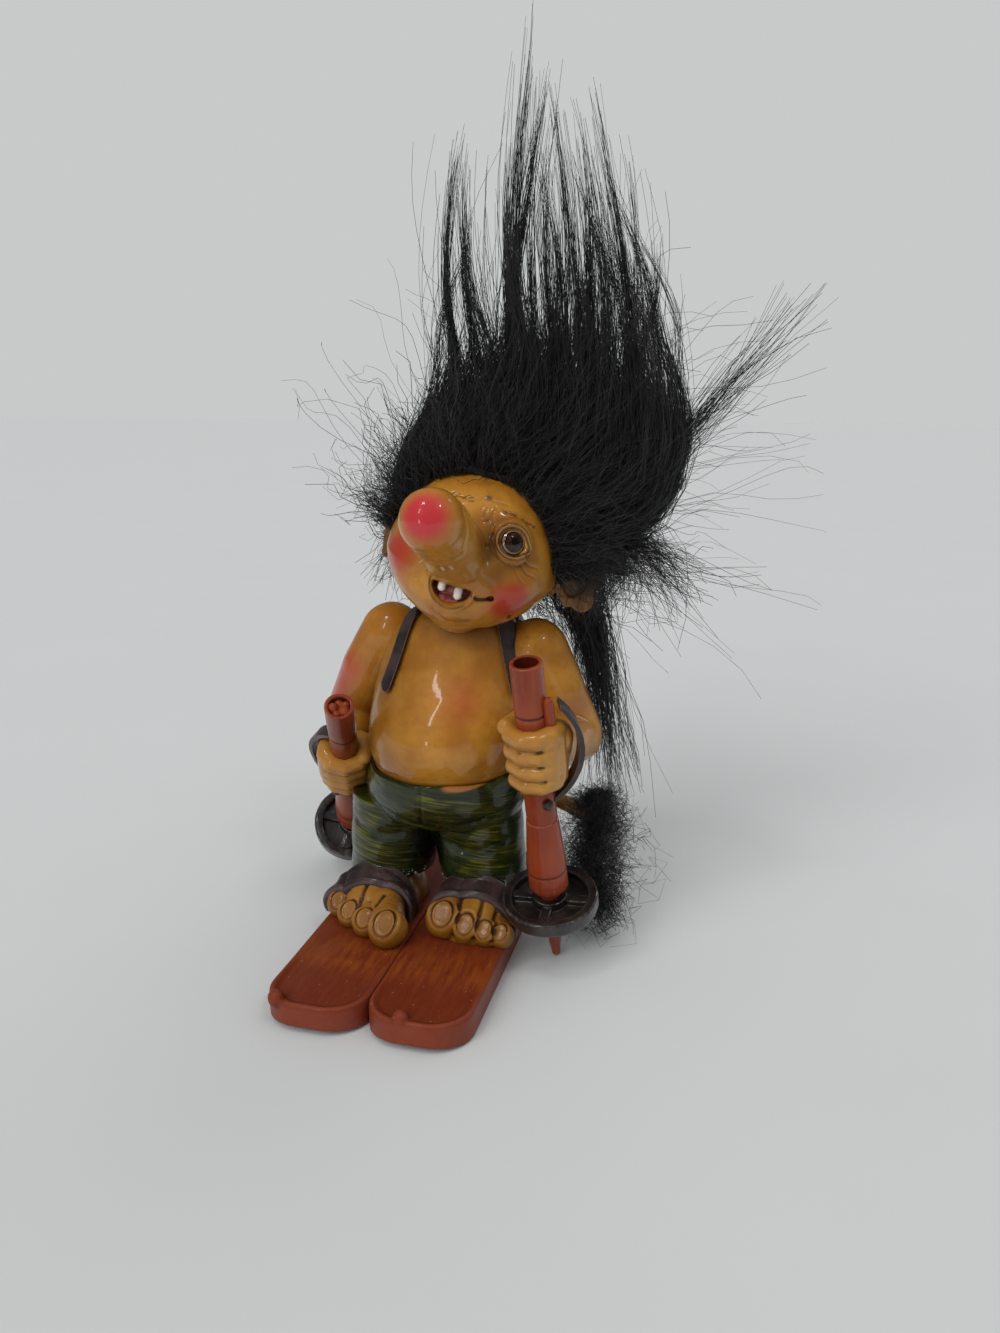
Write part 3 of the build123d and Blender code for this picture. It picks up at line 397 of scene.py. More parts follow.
# The cleft between two toes: how far back and how high, from its tip to the instep
CLEFT = ((-2.6, 7.6), (-0.6, 9.6), (2.4, 11.6), (5.6, 13.0))
for name, side, middle, toes in (
    ("right_foot", -1, -11.5, RIGHT_TOES),
    ("left_foot", 1, 13.5, LEFT_TOES),
):
    foot = cast(name, "_cast", 0.27, 3, 0.22, 7.0, 11)
    for outward, reach, radius in toes:
        toe = (middle + side * outward, FOOT_Y - reach, SKI_TOP + radius - 0.6)
        nail(foot, toe, radius, NAIL_FACING)
        for back in (0.95, 1.35):
            knuckle = np.array(toe) + (0, back * radius, 0.55 * radius)
            half, drop, rise = 0.5 * radius, -0.35 * radius, 0.5 * radius
            wrinkle = knuckle + ((-half, 0, -drop), (0, 0, rise), (half, 0, drop))
            press(foot, wrinkle, 0.28, 0.14, 0.5)
    for (near, near_reach, near_round), (far, far_reach, far_round) in zip(toes, toes[1:]):
        gap_x = middle + side * (near + near_round * 0.5 + far - far_round * 0.5) / 2
        gap_y = FOOT_Y - (near_reach + far_reach) / 2
        cleft = on_skin(foot, [(gap_x, gap_y + back, rise) for back, rise in CLEFT])
        press(foot, cleft, 0.55, 0.55, 0.85)
    weather(foot, 3.2, 2)
    where = points(foot)
    # Painted light on the top of each foot, and painted shade all over it, deepest low down by the ski
    paint(foot, "pale", 0.3 * ramp(where[:, 2], 10.0, 4.0))
    paint(foot, "shadow", 0.55 + 0.35 * ramp(where[:, 2], 11.5, -5.0))
    place(foot, foot_finish, "skin", name)

# Binding straps
# A dark strap lies over each instep, with a raised edge. It was cast with the foot and painted
# brown black to look like leather. Its rubbed edges are painted a cool grey, partly as wear and
# partly as painted sheen.


def strap_paint(shade):
    fine = shade.grain(0.8, 4.0)
    patch = shade.grain(5.0, 2.0)
    dark = patch.between(0.35, 0.7).blend((0.016, 0.008, 0.007), (0.048, 0.026, 0.024))
    # Rubbed edges painted a cool grey, partly as wear and partly as painted sheen
    rubbed = (shade.mask("wear_and_highlight").between(0.08, 0.6) * 0.6).blend(dark, (0.15, 0.105, 0.10))
    colour = (fine.between(0.62, 0.75) * 0.3).blend(rubbed, (0.12, 0.08, 0.085))
    return colour, 0.26 + 0.25 * fine, fine, 0.10


strap_finish = make_finish("strap_paint", (0.035, 0.02, 0.018), strap_paint, coat=(0.35, 0.15))
BINDING_Y = -8.6
BINDING_HALF_WIDTH = 2.3
for name in ("right_binding_strap", "left_binding_strap"):
    strap = clay(name, name + "_band", 0.24, 2)
    where = points(strap)
    from_edge = BINDING_HALF_WIDTH - np.abs(where[:, 1] - BINDING_Y)
    swell(strap, 0.20 + 0.25 * fade(from_edge - 0.45, 0.4) + 0.06 * lumps(where, 4.0, 5))
    where = points(strap)
    over = ramp(where[:, 2], 7.5, 4.0)
    where[:, 2] += over * (0.5 + 0.6 * (where[:, 1] - BINDING_Y))
    move_to(strap, where)
    weather(strap, 3.0, 1)
    place(strap, strap_finish, "strap", name)

# Trousers
# Short wide trousers, brushed in bands of olive and yellow green over near black, then varnished.
# The waist is cut low in front with a small notch, and the paint is chipped white along the hems.


def trouser_paint(shade):
    band = shade.grain(4.2, 3.0, (2.8, 2.8, 0.40))
    hair_line = shade.grain(1.6, 3.0, (6, 6, 0.24), (0.0, 0.16, 0.0), (3, 1, 7))
    patch = shade.grain(8.0, 2.0, offset=(2.0, 5.5, 1.0))
    green = hair_line.between(0.3, 0.7).blend((0.006, 0.011, 0.003), (0.020, 0.030, 0.006))
    banded = band.between(0.46, 0.64) * patch.between(0.36, 0.58) * 0.8
    olive = banded.blend(green, (0.046, 0.047, 0.002))
    streaked = hair_line.between(0.52, 0.68) * patch.between(0.42, 0.58)
    lime = streaked.blend(olive, (0.112, 0.106, 0.003))
    faded = band.between(0.60, 0.7) * hair_line.between(0.52, 0.6) * 0.25
    grey = faded.blend(lime, (0.050, 0.070, 0.045))
    dark = (shade.mask("wash").between(0.05, 0.7) * 0.94).blend(grey, (0.003, 0.005, 0.003))
    flakes = shade.mask("chip") * shade.grain(0.9, 2.0).between(0.60, 0.64)
    chipped = flakes.blend(dark, (0.45, 0.43, 0.38))
    colour = shade.mask("bare").between(0.3, 0.7).blend(chipped, (0.34, 0.135, 0.03))
    return colour, 0.18 + 0.18 * patch, hair_line + band * 0.5, 0.14


trouser_finish = make_finish(
    "trouser_paint", (0.03, 0.035, 0.005), trouser_paint, coat=(0.5, 0.06), specular=0.25
)
HEM_Z = 14.6
LEG_GAP_X = 0.8
NOTCH_X, NOTCH_Z = 12.0, 41.8
trousers = clay("trousers", "trousers_cast", 0.38, 3)
where = points(trousers)
where[:, 2] -= 2.6 * ramp(where[:, 2], 26.0, -9.5)
move_to(trousers, where)
swell(trousers, 0.35 * lumps(where * (1, 1, 2.2), 15.0, 21) + 0.12 * lumps(where * (1, 1, 2), 5.0, 22))
for fold in (
    ((2.0, -11.5, 29.0), (-4.0, -12.5, 31.5), (-11.0, -10.0, 33.0)),
    ((2.0, -11.5, 28.0), (8.0, -12.0, 30.0), (15.0, -9.0, 32.5)),
    ((-16.5, -4.5, 27.0), (-11.0, -8.0, 25.5), (-5.0, -7.0, 26.5)),
    ((7.5, -7.0, 25.0), (12.5, -8.0, 23.5), (18.5, -5.5, 25.5)),
    ((-17.0, 8.0, 29.0), (-12.0, 13.5, 27.0), (-4.0, 14.0, 26.5)),
    ((8.0, 14.0, 26.0), (14.0, 13.5, 27.0), (19.5, 8.0, 29.5)),
):
    press(trousers, fold, 1.3, 0.55, 0.35)
press(trousers, ((2.5, -14.5, 41.0), (2.2, -14.0, 34.0), (1.2, -10.0, 28.0)), 0.55, 0.30, 0.5)
where = points(trousers)
# Painted darkest in the gap between the legs, below the crotch
between_legs = fade(where[:, 0] - LEG_GAP_X, 4.2) * ramp(where[:, 2], 31.0, -5.0)
weather(trousers, 2.2, 2)
paint(trousers, "wash", between_legs)
paint(trousers, "chip", fade(where[:, 2] - HEM_Z, 1.2))
beside = where[:, 0] - NOTCH_X
notch = np.hypot(beside / 5.0, (where[:, 2] - NOTCH_Z - 0.12 * beside) / 1.5)
paint(trousers, "bare", np.clip(1.4 - notch, 0, 1) * (where[:, 1] < 0))
place(trousers, trouser_finish, "trousers", "trousers")

# Torso
# A bare round belly and chest, leaning over to one side. The golden tan paint is blushed red on the
# chest, and fine creases run out of the armpit, under a coat of glossy varnish.


def dab(where, middle, radius, power=2):
    """1 at a place on a piece, fading out about a radius away."""
    return fade(np.linalg.norm(where - np.array(middle), axis=1), radius, power)


torso = clay("torso", "torso_cast", 0.40, 3)
swell(torso, 0.22 * lumps(points(torso), 14.0, 31) + 0.07 * lumps(points(torso), 4.5, 32))
for crease in (
    ((22.0, -4.0, 66.0), (16.5, -7.6, 63.5), (11.5, -10.0, 62.0)),
    ((21.5, -5.0, 64.0), (17.0, -8.2, 61.8), (13.0, -10.4, 60.0)),
    ((20.5, -6.5, 61.5), (17.0, -9.2, 59.5), (14.5, -10.8, 57.8)),
    ((-11.5, -3.0, 64.0), (-8.0, -6.0, 62.5), (-5.0, -8.0, 62.0)),
):
    press(torso, crease, 0.32, 0.18, 0.34)
WAIST_X, WAIST_Y, WAIST_Z = 3, 3, 43.0
waist = [
    (WAIST_X + 17.2 * math.sin(a), WAIST_Y - 16.7 * math.cos(a), WAIST_Z)
    for a in np.linspace(-1.6, 1.6, 9)
]
press(torso, waist, 0.4, 0.3, 0.75)
where = points(torso)
paint(torso, "blush", 0.42 * dab(where, (11.0, -10.3, 60.5), 7.0))
paint(torso, "shadow", 0.6 * ramp(where[:, 2], 70.0, 5.0))
paint(torso, "shadow", 0.6 * ramp(where[:, 0], 4.0, -10.0))
place(torso, skin_finish, "skin", "torso")

# Braces
# Two dark braces come over the shoulders, stop short in a round end on the chest and run down the
# back to the waist. They are part of the casting, picked out in brown black.
for name in ("right_brace", "left_brace"):
    brace = clay(name, name + "_band", 0.24, 2)
    where = points(brace)
    under_jaw = ramp(where[:, 2], 69.0, 6.0) * (where[:, 1] < 6.0) * (name == "left_brace")
    move_to(brace, where + under_jaw[:, None] * (-0.4, 1.0, 2.6))
    swell(brace, 0.05 * lumps(points(brace), 3.0, 41))
    weather(brace, 3.0, 1)
    place(brace, strap_finish, "strap", name)

# Arms
# Bent arms, cast with the body, with a soft crease at the shoulder, the elbow and the wrist. The
# right one is blushed red down its outside.


def ball(middle, radii, turn=(0, 0, 0)):
    """A round lump of clay, stretched and turned."""
    deselect()
    bpy.ops.mesh.primitive_uv_sphere_add(
        segments=32, ring_count=16, location=Vector(middle) * MM, rotation=turn
    )
    lump = bpy.context.object
    lump.scale = Vector(radii) * MM
    return lump


def rod(start, end, near, far):
    """A tapering roll of clay between two points."""
    run = Vector(end) - Vector(start)
    deselect()
    bpy.ops.mesh.primitive_cone_add(
        vertices=32,
        radius1=near * MM,
        radius2=far * MM,
        depth=run.length * MM,
        location=(Vector(start) + run / 2) * MM,
        rotation=run.to_track_quat("Z", "Y").to_euler(),
    )
    return bpy.context.object


def limb(path, radii):
    """Rolls of clay from joint to joint, with a round lump at each joint."""
    lumps_of_clay = [ball(point, (radius,) * 3) for point, radius in zip(path, radii)]
    for start, end, near, far in zip(path, path[1:], radii, radii[1:]):
        lumps_of_clay.append(rod(start, end, near, far))
    return lumps_of_clay


def knead(lumps_of_clay, name, grain, rounds):
    """Join lumps of clay into one skin."""
    deselect()
    for lump in lumps_of_clay:
        lump.select_set(True)
    bpy.context.view_layer.objects.active = lumps_of_clay[0]
    bpy.ops.object.join()
    piece = bpy.context.object
    piece.name = name
    bpy.ops.object.transform_apply(location=True, rotation=True, scale=True)
    return skin_over(piece, grain, rounds)


def unit(vector):
    return np.array(vector, float) / np.linalg.norm(vector)


RIGHT_POLE = (np.array((-33.4, 33.2, 1.1)), unit((17.0, -46.4, 56.95)))
LEFT_POLE = (np.array((31.8, -6.8, 1.1)), unit((-3.4, -18.2, 73.09)))
RIGHT_FIST = RIGHT_POLE[0] + 49.5 * RIGHT_POLE[1]
LEFT_FIST = LEFT_POLE[0] + 54.3 * LEFT_POLE[1]
RIGHT_ELBOW = np.array((-23.0, 12.0, 51.0))
LEFT_ELBOW = np.array((32.5, 7.0, 49.0))
for name, shoulder, elbow, fist, blush in (
    ("right_arm", np.array((-11.5, 8.0, 70.0)), RIGHT_ELBOW, RIGHT_FIST, 0.8),
    ("left_arm", np.array((24.0, 4.0, 69.0)), LEFT_ELBOW, LEFT_FIST, 0.15),
):
    wrist = fist + 8.0 * unit(elbow - fist)
    biceps = (shoulder + elbow) / 2 + (0, -1.0, 0.5)
    arm = knead(limb((shoulder, biceps, elbow, wrist), (7.3, 7.1, 6.5, 5.5)), name + "_cast", 0.36, 6)
    swell(arm, 0.2 * lumps(points(arm), 9.0, 51))
    inside = elbow + 5.2 * unit(unit(shoulder - elbow) + unit(wrist - elbow))
    fold = unit(np.cross(shoulder - elbow, wrist - elbow))
    press(arm, (inside - 5 * fold, inside, inside + 5 * fold), 0.5, 0.5, 0.6)
    ring = shoulder + 0.42 * (elbow - shoulder)
    press(arm, (ring + (-5.5, -5.5, -2.0), ring + (-1, -7.4, 0), ring + (4.5, -5.5, 0)), 0.4, 0.16, 0.3)
    outside = (ring + (-4, -5, 0), elbow + (-3, -5, 4))
    paint(arm, "blush", blush * fade(from_line(points(arm), outside), 5.0))
    weather(arm, 2.0, 2)
    place(arm, skin_finish, "skin", name)

# Hands
# Plump fists, paler than the arms, closed round the grips of the poles: four stacked fingers, a
# thumb over the inner side and a brown wash between them.


def round_pole(pole, fist, side, turn, out, rise):
    """A place beside a grip: turned from its outer side to the front, then out and up the axis."""
    up = pole[1]
    outward = unit(np.array((side, 0, 0)) - side * up[0] * up)
    forward = unit(np.array((0, -1, 0)) + up[1] * up - outward * (-outward[1]))
    turn = math.radians(turn)
    return fist + out * (math.cos(turn) * outward + math.sin(turn) * forward) + rise * up


FINGER_RISES = (5.5, 1.9, -1.7, -5.2)
for name, side, pole, fist, elbow in (
    ("right_hand", -1, RIGHT_POLE, RIGHT_FIST, RIGHT_ELBOW),
    ("left_hand", 1, LEFT_POLE, LEFT_FIST, LEFT_ELBOW),
):
    lumps_of_clay = []
    for rise, reach, thick in zip(FINGER_RISES, (196, 206, 204, 192), (2.0, 2.05, 2.0, 1.8)):
        path = [round_pole(pole, fist, side, turn, 4.5, rise) for turn in (-8, 26, 66, 108, 150, reach)]
        lumps_of_clay += limb(path, (thick + 0.1, thick + 0.2, thick + 0.1, thick, thick, thick - 0.2))
    for turn in (-12, 14, 40):
        spots = [round_pole(pole, fist, side, turn, 4.1, rise) for rise in (4.2, 0, -4.0)]
        lumps_of_clay += limb(spots, (2.7, 2.8, 2.5))
    palm = [round_pole(pole, fist, side, turn, 4.3, rise) for turn, rise in ((-35, 2.5), (-60, -1.5))]
    lumps_of_clay += limb(palm, (4.1, 4.5))
    heel = round_pole(pole, fist, side, -70, 4.5, -0.5)
    lumps_of_clay += limb((heel, fist + 9.5 * unit(elbow - fist)), (4.6, 5.0))
    thumb = [round_pole(pole, fist, side, turn, out, rise)
             for turn, out, rise in ((-95, 4.9, 3.6), (-140, 5.2, 5.4), (-190, 5.2, 6.6))]
    lumps_of_clay += limb(thumb, (2.6, 2.3, 1.9))
    hand = knead(lumps_of_clay, name + "_cast", 0.24, 4)
    for rise in (3.7, 0.1, -3.5):
        turns = (60, 80, 100, 120, 150, 185)
        valley = [round_pole(pole, fist, side, turn, 6.0, rise) for turn in turns]
        press(hand, valley, 0.32, 0.32, 0.9)
        knuckle = [round_pole(pole, fist, side, turn, 6.6, rise) for turn in (30, 45, 60)]
        press(hand, knuckle, 0.5, 0.22, 0.12)
    for rise in FINGER_RISES:
        for turn in (88, 130):
            crease = [round_pole(pole, fist, side, turn + swing, 6.5, rise + lift)
                      for swing, lift in ((0, -1.1), (3, 0), (0, 1.1))]
            press(hand, crease, 0.26, 0.14, 0.55)
    swell(hand, 0.10 * lumps(points(hand), 3.5, 61))
    weather(hand, 2.4, 2)
    paint(hand, "pale", 0.45)
    place(hand, skin_finish, "skin", name)

# Ski poles
# Thick turned poles in orange red, each in two lengths: a shaft with a domed foot and a pointed
# ferrule, and a narrower grip with a hollow in its top, painted dark inside as painted shade. The
# casting left a seam down one side.


def hoop(middle, up, out, radius, angles):
    """Points on a ring round an axis."""
    across = np.cross(up, out)
    return [middle + radius * (math.cos(a) * out + math.sin(a) * across) for a in angles]


def pole_paint(turn):
    def recipe(shade):
        streak = shade.grain(1.8, 3.0, (1, 1, 8), turn)
        patch = shade.grain(9.0, 2.0, (1, 1, 2), turn, (1.5, 0, 2))
        red = patch.between(0.34, 0.66).blend((0.180, 0.026, 0.009), (0.265, 0.042, 0.010))
        pink = (streak.between(0.52, 0.72) * 0.35).blend(red, (0.32, 0.070, 0.034))
        # Rims painted paler, partly as rubbed paint and partly as painted highlight
        rubbed = (shade.mask("wear_and_highlight").between(0.08, 0.6) * 0.5).blend(pink, (0.44, 0.14, 0.075))
        # Painted shade inside the hollow top of the grip
        hollow = (shade.mask("hollow") * 0.85).blend(rubbed, (0.060, 0.007, 0.004))
        colour = (shade.mask("wash").between(0.05, 0.75) * 0.9).blend(hollow, (0.035, 0.006, 0.003))
        return colour, 0.26 + 0.22 * patch, streak + shade.grain(0.6) * 0.5, 0.12

    return recipe


# Heights along a pole: where the shaft starts to narrow, over how much, its top and the grip's top
TAPER_START, TAPER_RUN, SHAFT_TOP, GRIP_TOP = 27.0, 11.0, 38.6, 74.2
for side, pole in (("right", RIGHT_POLE), ("left", LEFT_POLE)):
    foot, up = pole
    out = unit(np.cross(up, (0, 1, 0)))
    turn = Vector(up).to_track_quat("Z", "Y").to_euler()
    pole_finish = make_finish(
        side + "_pole_paint", (0.23, 0.035, 0.010), pole_paint(turn), coat=(0.45, 0.12), specular=0.2
    )
    for part, wide, line in (("_pole_shaft", 4.2, 24.5), ("_pole_grip", 3.3, 64.0)):
        length = clay(side + part, side + part + "_turned", 0.26, 2)
        where = points(length)
        along = (where - foot) @ up
        away = np.linalg.norm(where - foot - along[:, None] * up, axis=1)
        swell(length, 0.16 * lumps(where, 9.0, 71) + 0.05 * lumps(where, 2.5, 72))
        if part == "_pole_shaft":
            slope = ramp(along, TAPER_START, TAPER_RUN) * (along < SHAFT_TOP) * (away > 2.4)
            from_axis = points(length) - foot - along[:, None] * up
            move_to(length, points(length) - from_axis * (0.20 * slope)[:, None])
        ring = hoop(foot + up * line, up, out, wide, np.linspace(0, 2 * math.pi, 25))
        press(length, ring, 0.28, 0.22, 0.75)
        if part == "_pole_shaft":
            seam = unit(0.75 * out - 0.66 * np.cross(up, out))
            press(length, (foot + up * 22 + 4.3 * seam, foot + up * 37.5 + 4.3 * seam), 0.30, 0.30, 0.8)
        weather(length, 2.4, 2)
        # Painted shade down inside the hollow top of each grip
        paint(length, "hollow", ramp(away, 2.8, -0.4) * (along > 60))
        place(length, pole_finish, "pole", side + part)
    if side == "right":
        top = foot + GRIP_TOP * up
        ring = hoop(top, up, out, 1.5, (0.3, 1.6, 2.9, 4.1, 5.3))
        crumbs = [ball(spot + lift * up, (size,) * 3) for spot, lift, size in
                  zip(ring, (0.0, -0.5, 0.3, -0.2, -0.7), (1.25, 1.1, 1.3, 1.15, 1.2))]
        plug = knead([ball(top - 2.4 * up, (2.6,) * 3), *crumbs], "right_grip_plug", 0.2, 2)
        weather(plug, 2.4, 1)
        place(plug, pole_finish, "pole")
tab_ends = [round_pole(LEFT_POLE, LEFT_FIST, 1, 8, 3.9, rise) for rise in (8.0, 12.6)]
tab = knead(limb(tab_ends, (1.2, 1.1)), "left_grip_tab", 0.22, 2)
paint(tab, "wash", 0.15)
place(tab, pole_finish, "pole")

# Baskets
# A dark dished wheel sits on the ferrule of each pole: a rounded rim and four bars stand up from its
# floor. The black is rubbed to grey and brown along the rim.


def basket_paint(shade):
    fine = shade.grain(1.0, 4.0)
    patch = shade.grain(4.5, 2.0)
    dark = patch.between(0.35, 0.7).blend((0.006, 0.004, 0.004), (0.024, 0.017, 0.014))
    rubbed = shade.mask("wear_and_highlight").between(0.06, 0.5) * fine.between(0.40, 0.64) * 0.7
    grey = rubbed.blend(dark, (0.22, 0.19, 0.18))
    colour = (fine.between(0.66, 0.74) * 0.5).blend(grey, (0.16, 0.085, 0.045))
    return colour, 0.24 + 0.26 * fine, fine + patch, 0.18


basket_finish = make_finish("basket_paint", (0.03, 0.02, 0.02), basket_paint, coat=(0.6, 0.1))
for side in ("right", "left"):
    basket = cast(side + "_basket", "_wheel", 0.24, 2, 0.14, 5.0, 81)
    weather(basket, 2.6, 1)
    place(basket, basket_finish, "basket", side + "_basket")

# Wrist straps
# A strap leaves each grip above the fist, loops out round the wrist and comes back below it, where
# a dark button holds it. It is cast in one with the hand and painted like leather.
for side, sign, pole, fist in (
    ("right", -1, RIGHT_POLE, RIGHT_FIST),
    ("left", 1, LEFT_POLE, LEFT_FIST),
):
    strap = cast(side + "_wrist_strap", "_band", 0.20, 2, 0.05, 3.0, 91)
    weather(strap, 3.0, 1)
    place(strap, strap_finish, "strap", side + "_wrist_strap")
    below_fist = round_pole(pole, fist, sign, 50, 3.7, -10.8)
    button = knead([ball(below_fist, (1.2,) * 3)], side + "_button", 0.2, 2)
    place(button, strap_finish, "strap")

# Head
# A round head tipped over to its left, with a long bulbed nose, full cheeks, ringed eyelids and a
# crooked smile. It was modelled with the body, blushed crimson on the nose and cheeks and washed brown.
head_tilt = Euler([math.radians(a) for a in (2, 15, 6)]).to_matrix().to_4x4()
HEAD = Matrix.Translation((10.5, 2.0, 90.8)) @ head_tilt
head_axes = np.array(HEAD.to_3x3())
head_middle = np.array(HEAD.translation)


def on_head(*spots):
    """Places given in the head's own axes: x to its left, y to the back, z to the crown."""
    return np.array(spots, float) @ head_axes.T + head_middle


def face_points():
    """The points of the head in its own axes."""
    return (points(head) - head_middle) @ head_axes


head = clay("head", "head_cast", 0.25, 3)
face = face_points()
height = 0.0
# Nose bulb and bridge, cheeks, chin, lip, nostrils, sockets and left brow: middle, radius, how far
# they stand out, and less than 1 where they are drawn out sideways
for middle, radius, rise, squash in (
    ((-5.2, -30.0, 12.2), 7.5, 0.9, 1),
    ((-2.5, -21.0, 6.0), 5.0, -0.6, 1),
    ((12.0, -14.0, -4.2), 6.2, 1.7, 1),
    ((-13.2, -12.5, -3.0), 6.2, 0.9, 1),
    ((0.8, -15.5, -13.5), 6.0, 0.9, 1),
    ((0.2, -18.6, -9.6), 2.6, 0.5, 0.5),
    ((3.4, -19.6, -0.4), 2.4, 0.9, 1),
    ((-4.6, -19.4, -0.2), 2.4, 0.9, 1),
    ((5.0, -17.5, 4.5), 3.6, -0.7, 1),
    ((-9.0, -16.5, 4.0), 3.6, -0.7, 1),
    ((8.5, -12.5, 12.0), 3.4, 0.7, 0.6),
):
    scale = np.array((squash, 1, 1))
    height = height + rise * dab(face * scale, middle * scale, radius)
swell(head, height)
apply_modifier(head, "SMOOTH", factor=0.5, iterations=2)
# The jaw is narrower than the skull, the chin short, and the nose hangs a little at its end
face = face_points()
jaw = ramp(face[:, 2], -2.0, -13.0)
face[:, 0] -= (face[:, 0] + 0.5) * 0.24 * jaw
face[:, 2] += 1.7 * jaw**2
end_of_nose = ramp(face[:, 1], -21.5, -7.0)
face[:, 2] -= 1.6 * end_of_nose**2 * (3 - 2 * end_of_nose)
move_to(head, face @ head_axes.T + head_middle)


def soften(piece, where_to, rounds):
    """Rub the skin of a piece smooth where a mask says so."""
    here, there, count = neighbours(piece)
    where = points(piece)
    for _ in range(rounds):
        sums = [np.bincount(here, where[there, axis], len(where)) for axis in range(3)]
        around = np.stack(sums, 1) / count[:, None]
        where += 0.5 * where_to[:, None] * (around - where)
    move_to(piece, where)


def head_line(*spots):
    return on_skin(head, on_head(*spots))


# The open half of the crooked mouth hangs in a half round from its corners
MOUTH_X, MOUTH_Z, MOUTH_HALF_WIDTH, MOUTH_DROP = -0.4, -3.5, 4.9, 4.7


def out_of_mouth(face, height, half_width, half_height):
    """0 at the middle of an oval on the mouth and 1 on its edge."""
    return np.hypot((face[:, 0] - MOUTH_X) / half_width, (face[:, 2] - height) / half_height)


face = face_points()
soften(head, ramp(out_of_mouth(face, -5.6, 5.6, 3.6), 1.25, -0.2) * (face[:, 1] < -10), 14)
lips = [
    (MOUTH_X + MOUTH_HALF_WIDTH * math.cos(a), -19.2, MOUTH_Z - MOUTH_DROP * math.sin(a))
    for a in np.linspace(0.1, math.pi - 0.1, 19)
]
# A thin lip below and above, the long slit that the mouth runs on in and its two deep corners, then
# laughter lines from the nostrils, a crease under the lip, crow's feet, and creases on brow and nose
for line, width, depth, wash in (
    (lips, 0.55, -0.35, 0.0),
    (((-4.6, -19.0, -2.9), (-2.4, -19.6, -2.5), (0.4, -19.8, -2.5), (3.6, -19.2, -2.9)), 0.5, -0.25, 0.0),
    (((2.8, -18.9, -4.3), (5.0, -18.2, -4.9), (6.6, -17.6, -4.6), (7.8, -17.0, -4.0)), 0.36, 0.75, 1.0),
    (((7.6, -17.2, -4.1), (8.2, -16.9, -3.4)), 0.5, 0.5, 0.9),
    (((-4.8, -18.6, -3.4), (-5.8, -17.8, -2.2)), 0.45, 0.5, 0.9),
    (((3.4, -19.0, 0.6), (5.6, -17.9, -0.6), (7.4, -17.0, -1.6), (8.4, -16.6, -3.2)), 0.8, 0.4, 0.12),
    (((-5.2, -18.0, 0.6), (-6.8, -17.4, -0.9), (-7.6, -17.0, -2.6), (-7.6, -17.0, -4.4)), 0.8, 0.45, 0.2),
    (((-3.4, -19.4, -10.0), (0.6, -19.0, -11.4), (4.5, -17.6, -10.2)), 0.7, 0.35, 0.3),
    (((11.8, -13.6, 4.6), (13.4, -12.4, 3.2), (15.0, -10.6, 2.8)), 0.24, 0.2, 0.4),
    (((11.4, -14.2, 3.4), (12.8, -13.2, 1.6), (14.6, -11.6, 0.8)), 0.24, 0.2, 0.45),
    (((10.6, -15.0, 2.4), (11.6, -14.6, 0.6), (12.6, -14.0, -0.4)), 0.24, 0.16, 0.3),
    (((-3.0, -14.0, 14.8), (1.5, -13.2, 16.0), (6.0, -11.6, 15.4)), 0.4, 0.16, 0.12),
    (((4.2, -15.0, 10.0), (3.6, -14.6, 12.2), (4.0, -13.6, 14.0)), 0.4, 0.22, 0.2),
    (((12.2, -14.4, -7.6), (12.6, -13.8, -8.6)), 0.6, 0.35, 0.8),
    (((-1.2, -17.4, 8.6), (1.2, -16.6, 9.8), (3.2, -15.8, 11.4)), 0.5, 0.4, 0.45),
    (((2.6, -18.0, 5.2), (3.4, -17.6, 6.8)), 0.5, 0.4, 0.7),
    (((4.6, -15.8, 8.0), (4.8, -15.9, 5.8), (5.1, -16.3, 3.4)), 1.1, 0.35, 0.42),
    (((2.2, -16.4, 12.2), (2.0, -15.2, 14.2)), 0.4, 0.25, 0.3),
    (((1.4, -27.0, 5.0), (1.6, -27.8, 8.0), (0.4, -27.2, 11.2), (-1.6, -26.4, 13.6)), 0.6, 0.35, 0.16),
    (((1.4, -27.0, 5.0), (-1.0, -28.4, 3.6), (-4.0, -28.8, 3.6)), 0.6, 0.2, 0.08),
):
    press(head, head_line(*line), width, depth, wash)


def eye_seat(side):
    """The middle of an eye in the head's own axes: side is 1 for the left one and -1 for the right."""
    return np.array((side * 7.9, -13.2, 6.8))


# Creases drawn out from the corners of an eye: across and down from its middle
LID_CREASES = (
    ((-2.9, 2.0), (-3.8, 2.7), (-4.8, 3.2)),
    ((-3.2, 1.0), (-4.2, 1.4), (-5.2, 1.4)),
    ((2.8, 0.6), (3.9, 1.0)),
)


def eyelids(side):
    """Two rings of lid round an eye, each a ridge between washed grooves, drawn out at the corners."""
    eye = eye_seat(side)
    look = unit(eye)
    across = unit(np.cross((0, 0, 1), -look)) * side
    down = np.cross(look, across) * side
    spot = face_points() - eye
    wide, high = spot @ across, spot @ down
    slant = math.radians(18)
    sine, cosine = math.sin(slant), math.cos(slant)
    wide, high = sine * high - cosine * wide, sine * wide + cosine * high
    corner = np.clip(wide / 3.0, 0, 1) * fade(high, 1.1)
    ring = np.hypot(wide / (1.12 + 0.30 * corner), high)
    front = ramp(spot @ look, -1.5, 1.5) * (np.linalg.norm(spot, axis=1) < 10)
    height = 0.0
    for radius, depth, width, wash in ((2.75, 0.22, 0.20, 0.75), (3.55, 0.26, 0.20, 0.6)):
        groove = fade(ring - radius, width) * front
        height = height - depth * groove
        paint(head, "wash", wash * groove)
    # The crest of each lid ridge is painted paler, as a painted highlight
    for radius, rise in ((2.3, 0.10), (3.25, 0.22)):
        ridge = fade(ring - radius, 0.26) * front
        height = height + rise * ridge
        paint(head, "wear_and_highlight", 0.6 * ridge)
    swell(head, height)
    paint(head, "shadow", 0.5 * fade(ring - 4.2, 1.8) * front)
    for crease in LID_CREASES:
        drawn = [eye + 3.0 * look + aside * across + below * down for aside, below in crease]
        press(head, head_line(*drawn), 0.22, 0.2, 0.5)


eyelids(1)
eyelids(-1)
